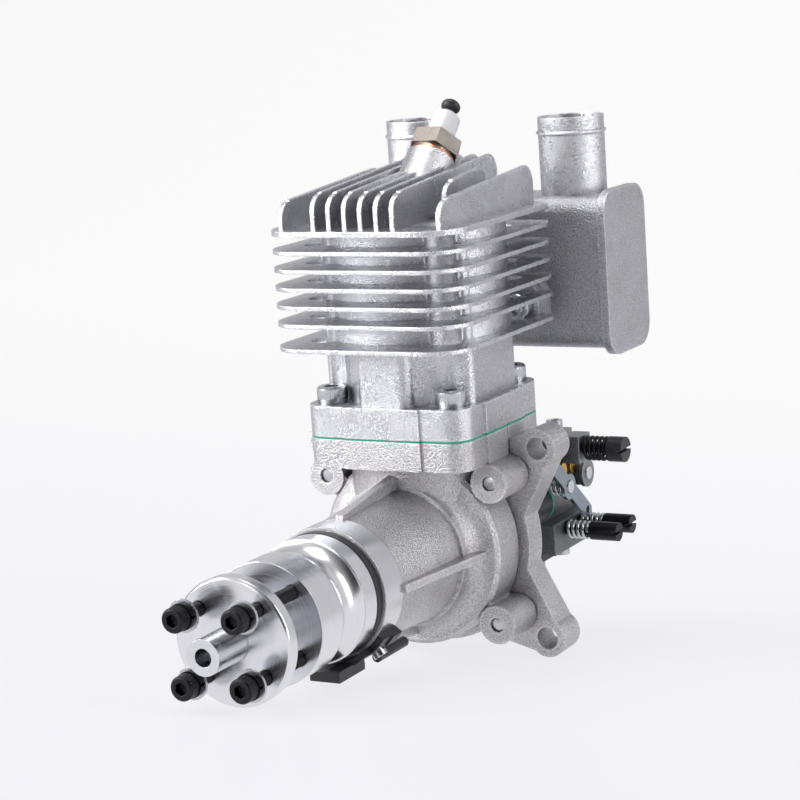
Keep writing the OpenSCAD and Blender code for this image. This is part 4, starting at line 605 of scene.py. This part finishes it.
def floor_material():
    """A pale floor that keeps the object's shadow, and grows lighter towards the wall."""
    material, nodes, links, shader = start_material("studio_floor")
    shader.inputs["Base Color"].default_value = FLOOR_COLOUR
    shader.inputs["Roughness"].default_value = FLOOR_ROUGHNESS
    split = nodes.new("ShaderNodeSeparateXYZ")
    links.new(object_place(nodes), split.inputs["Vector"])
    back_share = remap(nodes, links, split.outputs["Y"], FLOOR_FRONT_Y, FLOOR_BACK_Y, 0, 1)
    light_path = nodes.new("ShaderNodeLightPath")
    shown = nodes.new("ShaderNodeMix")
    shown.data_type = "RGBA"
    links.new(light_path.outputs["Is Glossy Ray"], shown.inputs[0])
    seen = blend_colours(nodes, links, back_share, FLOOR_FRONT_SEEN, FLOOR_BACK_SEEN)
    links.new(seen, shown.inputs[MIX_COLOUR_FIRST])
    mirrored = blend_colours(nodes, links, back_share, FLOOR_FRONT_MIRRORED, FLOOR_BACK_MIRRORED)
    links.new(mirrored, shown.inputs[MIX_COLOUR_SECOND])
    glow = nodes.new("ShaderNodeEmission")
    links.new(shown.outputs[MIX_COLOUR_RESULT], glow.inputs["Color"])
    glow.inputs["Strength"].default_value = 1.0
    straight = nodes.new("ShaderNodeMath")
    straight.operation = "MULTIPLY"
    straight.inputs[1].default_value = FLOOR_SEEN_SHARE
    links.new(light_path.outputs["Is Camera Ray"], straight.inputs[0])
    share = nodes.new("ShaderNodeMath")
    share.operation = "MAXIMUM"
    links.new(straight.outputs["Value"], share.inputs[0])
    links.new(light_path.outputs["Is Glossy Ray"], share.inputs[1])
    mix = nodes.new("ShaderNodeMixShader")
    links.new(share.outputs["Value"], mix.inputs["Fac"])
    links.new(shader.outputs["BSDF"], mix.inputs[1])
    links.new(glow.outputs["Emission"], mix.inputs[2])
    links.new(mix.outputs["Shader"], nodes["Material Output"].inputs["Surface"])
    return material


def add_floor():
    """A floor under the washer and the lower lugs, which rises to a wall behind the engine."""
    profile = [(FLOOR_FRONT, 0.0), (SWEEP_START, 0.0)]
    for k in range(1, SWEEP_STEPS + 1):
        turn = math.pi / 2 * k / SWEEP_STEPS
        profile.append((SWEEP_START + SWEEP_RADIUS * math.sin(turn), SWEEP_RADIUS * (1 - math.cos(turn))))
    profile.append((SWEEP_START + SWEEP_RADIUS, SWEEP_RADIUS + WALL_HEIGHT))
    vertices = [(side * FLOOR_HALF_WIDTH, y, z) for y, z in profile for side in (-1, 1)]
    faces = [(2 * k, 2 * k + 1, 2 * k + 3, 2 * k + 2) for k in range(len(profile) - 1)]
    mesh = bpy.data.meshes.new("floor")
    mesh.from_pydata(vertices, [], faces)
    for face in mesh.polygons:
        face.use_smooth = True
    mesh.materials.append(floor_material())
    floor = bpy.data.objects.new("floor", mesh)
    bpy.context.scene.collection.objects.link(floor)
    floor.rotation_euler = (math.atan(FLOOR_RISE), 0, 0)
    floor.location = (0, WASHER_FRONT_Y, WASHER_BOTTOM_Z)
    return floor


# Lamps and world

AIM = Vector((0, -0.02, 0.04))
WORLD_STRENGTH = 0.5
WORLD_SEEN = (0.97, 0.97, 0.98, 1)
DIM_SIDE = (0.55, -0.81, 0.2)
DIM_FROM = 0.45
DIM_FULL = 0.93
DIM_SURROUND = (0.05, 0.05, 0.06)
BRIGHT_SURROUND = (1, 1, 1)

# Each lamp's name, place, width, height and power in watts
LAMPS = [
    ("key", (-0.85, -0.65, 0.55), 0.3, 0.7, 13),
    ("top", (-0.1, -0.1, 1.0), 0.5, 0.5, 4),
    ("right_strip", (0.95, 0.05, 0.35), 0.2, 0.9, 5),
    ("front_strip", (-0.35, -1.3, 0.35), 0.25, 0.9, 3),
]


def add_lamp(name, place, width, height, power):
    """A soft area lamp that faces the engine."""
    data = bpy.data.lights.new(name, "AREA")
    data.shape = "RECTANGLE"
    data.size = width
    data.size_y = height
    data.energy = power
    lamp = bpy.data.objects.new(name, data)
    bpy.context.scene.collection.objects.link(lamp)
    lamp.location = place
    lamp.rotation_euler = (AIM - Vector(place)).to_track_quat("-Z", "Y").to_euler()
    return lamp


def add_world():
    """A bright surround that is dim only in front, where the photographer stands."""
    world = bpy.data.worlds.new("studio")
    bpy.context.scene.world = world
    world.use_nodes = True
    nodes = world.node_tree.nodes
    links = world.node_tree.links
    background = nodes["Background"]
    background.inputs["Strength"].default_value = WORLD_STRENGTH
    place = nodes.new("ShaderNodeTexCoord").outputs["Generated"]
    towards = nodes.new("ShaderNodeVectorMath")
    towards.operation = "DOT_PRODUCT"
    links.new(place, towards.inputs[0])
    towards.inputs[1].default_value = DIM_SIDE
    dim_share = remap(nodes, links, towards.outputs["Value"], DIM_FROM, DIM_FULL, 0, 1)
    links.new(blend_colours(nodes, links, dim_share, BRIGHT_SURROUND, DIM_SURROUND),
              background.inputs["Color"])
    white = nodes.new("ShaderNodeBackground")
    white.inputs["Color"].default_value = WORLD_SEEN
    light_path = nodes.new("ShaderNodeLightPath")
    mix = nodes.new("ShaderNodeMixShader")
    links.new(light_path.outputs["Is Camera Ray"], mix.inputs["Fac"])
    links.new(background.outputs["Background"], mix.inputs[1])
    links.new(white.outputs["Background"], mix.inputs[2])
    links.new(mix.outputs["Shader"], nodes["World Output"].inputs["Surface"])


def add_lamps():
    """A large lamp on the left, a top lamp, and strips on the right and in front."""
    for name, place, width, height, power in LAMPS:
        add_lamp(name, place, width, height, power)


# Camera

CAMERA_PLACE = Vector((0.3364, -0.6247, 0.1741))
CAMERA_RIGHT = Vector((0.87600, 0.47759, -0.06729))
CAMERA_DOWN = Vector((0.03044, -0.19398, -0.98053))
FOCAL_PIXELS = 2391.6
IMAGE_PIXELS = 800
SENSOR_MM = 36


def add_camera():
    """The camera of the photograph."""
    data = bpy.data.cameras.new("camera")
    data.sensor_width = SENSOR_MM
    data.lens = SENSOR_MM * FOCAL_PIXELS / IMAGE_PIXELS
    camera = bpy.data.objects.new("camera", data)
    bpy.context.scene.collection.objects.link(camera)
    up = -CAMERA_DOWN
    back = CAMERA_RIGHT.cross(up)
    turn = Matrix((CAMERA_RIGHT, up, back)).transposed()
    camera.matrix_world = Matrix.Translation(CAMERA_PLACE) @ turn.to_4x4()
    bpy.context.scene.camera = camera


materials = make_materials()
dress_nodes(materials)
add_all_bolts()
add_adjuster_springs()
add_gap_ring()
add_floor()
add_world()
add_lamps()
add_camera()
bpy.context.scene.view_settings.view_transform = "Standard"

bpy.context.view_layer.update()
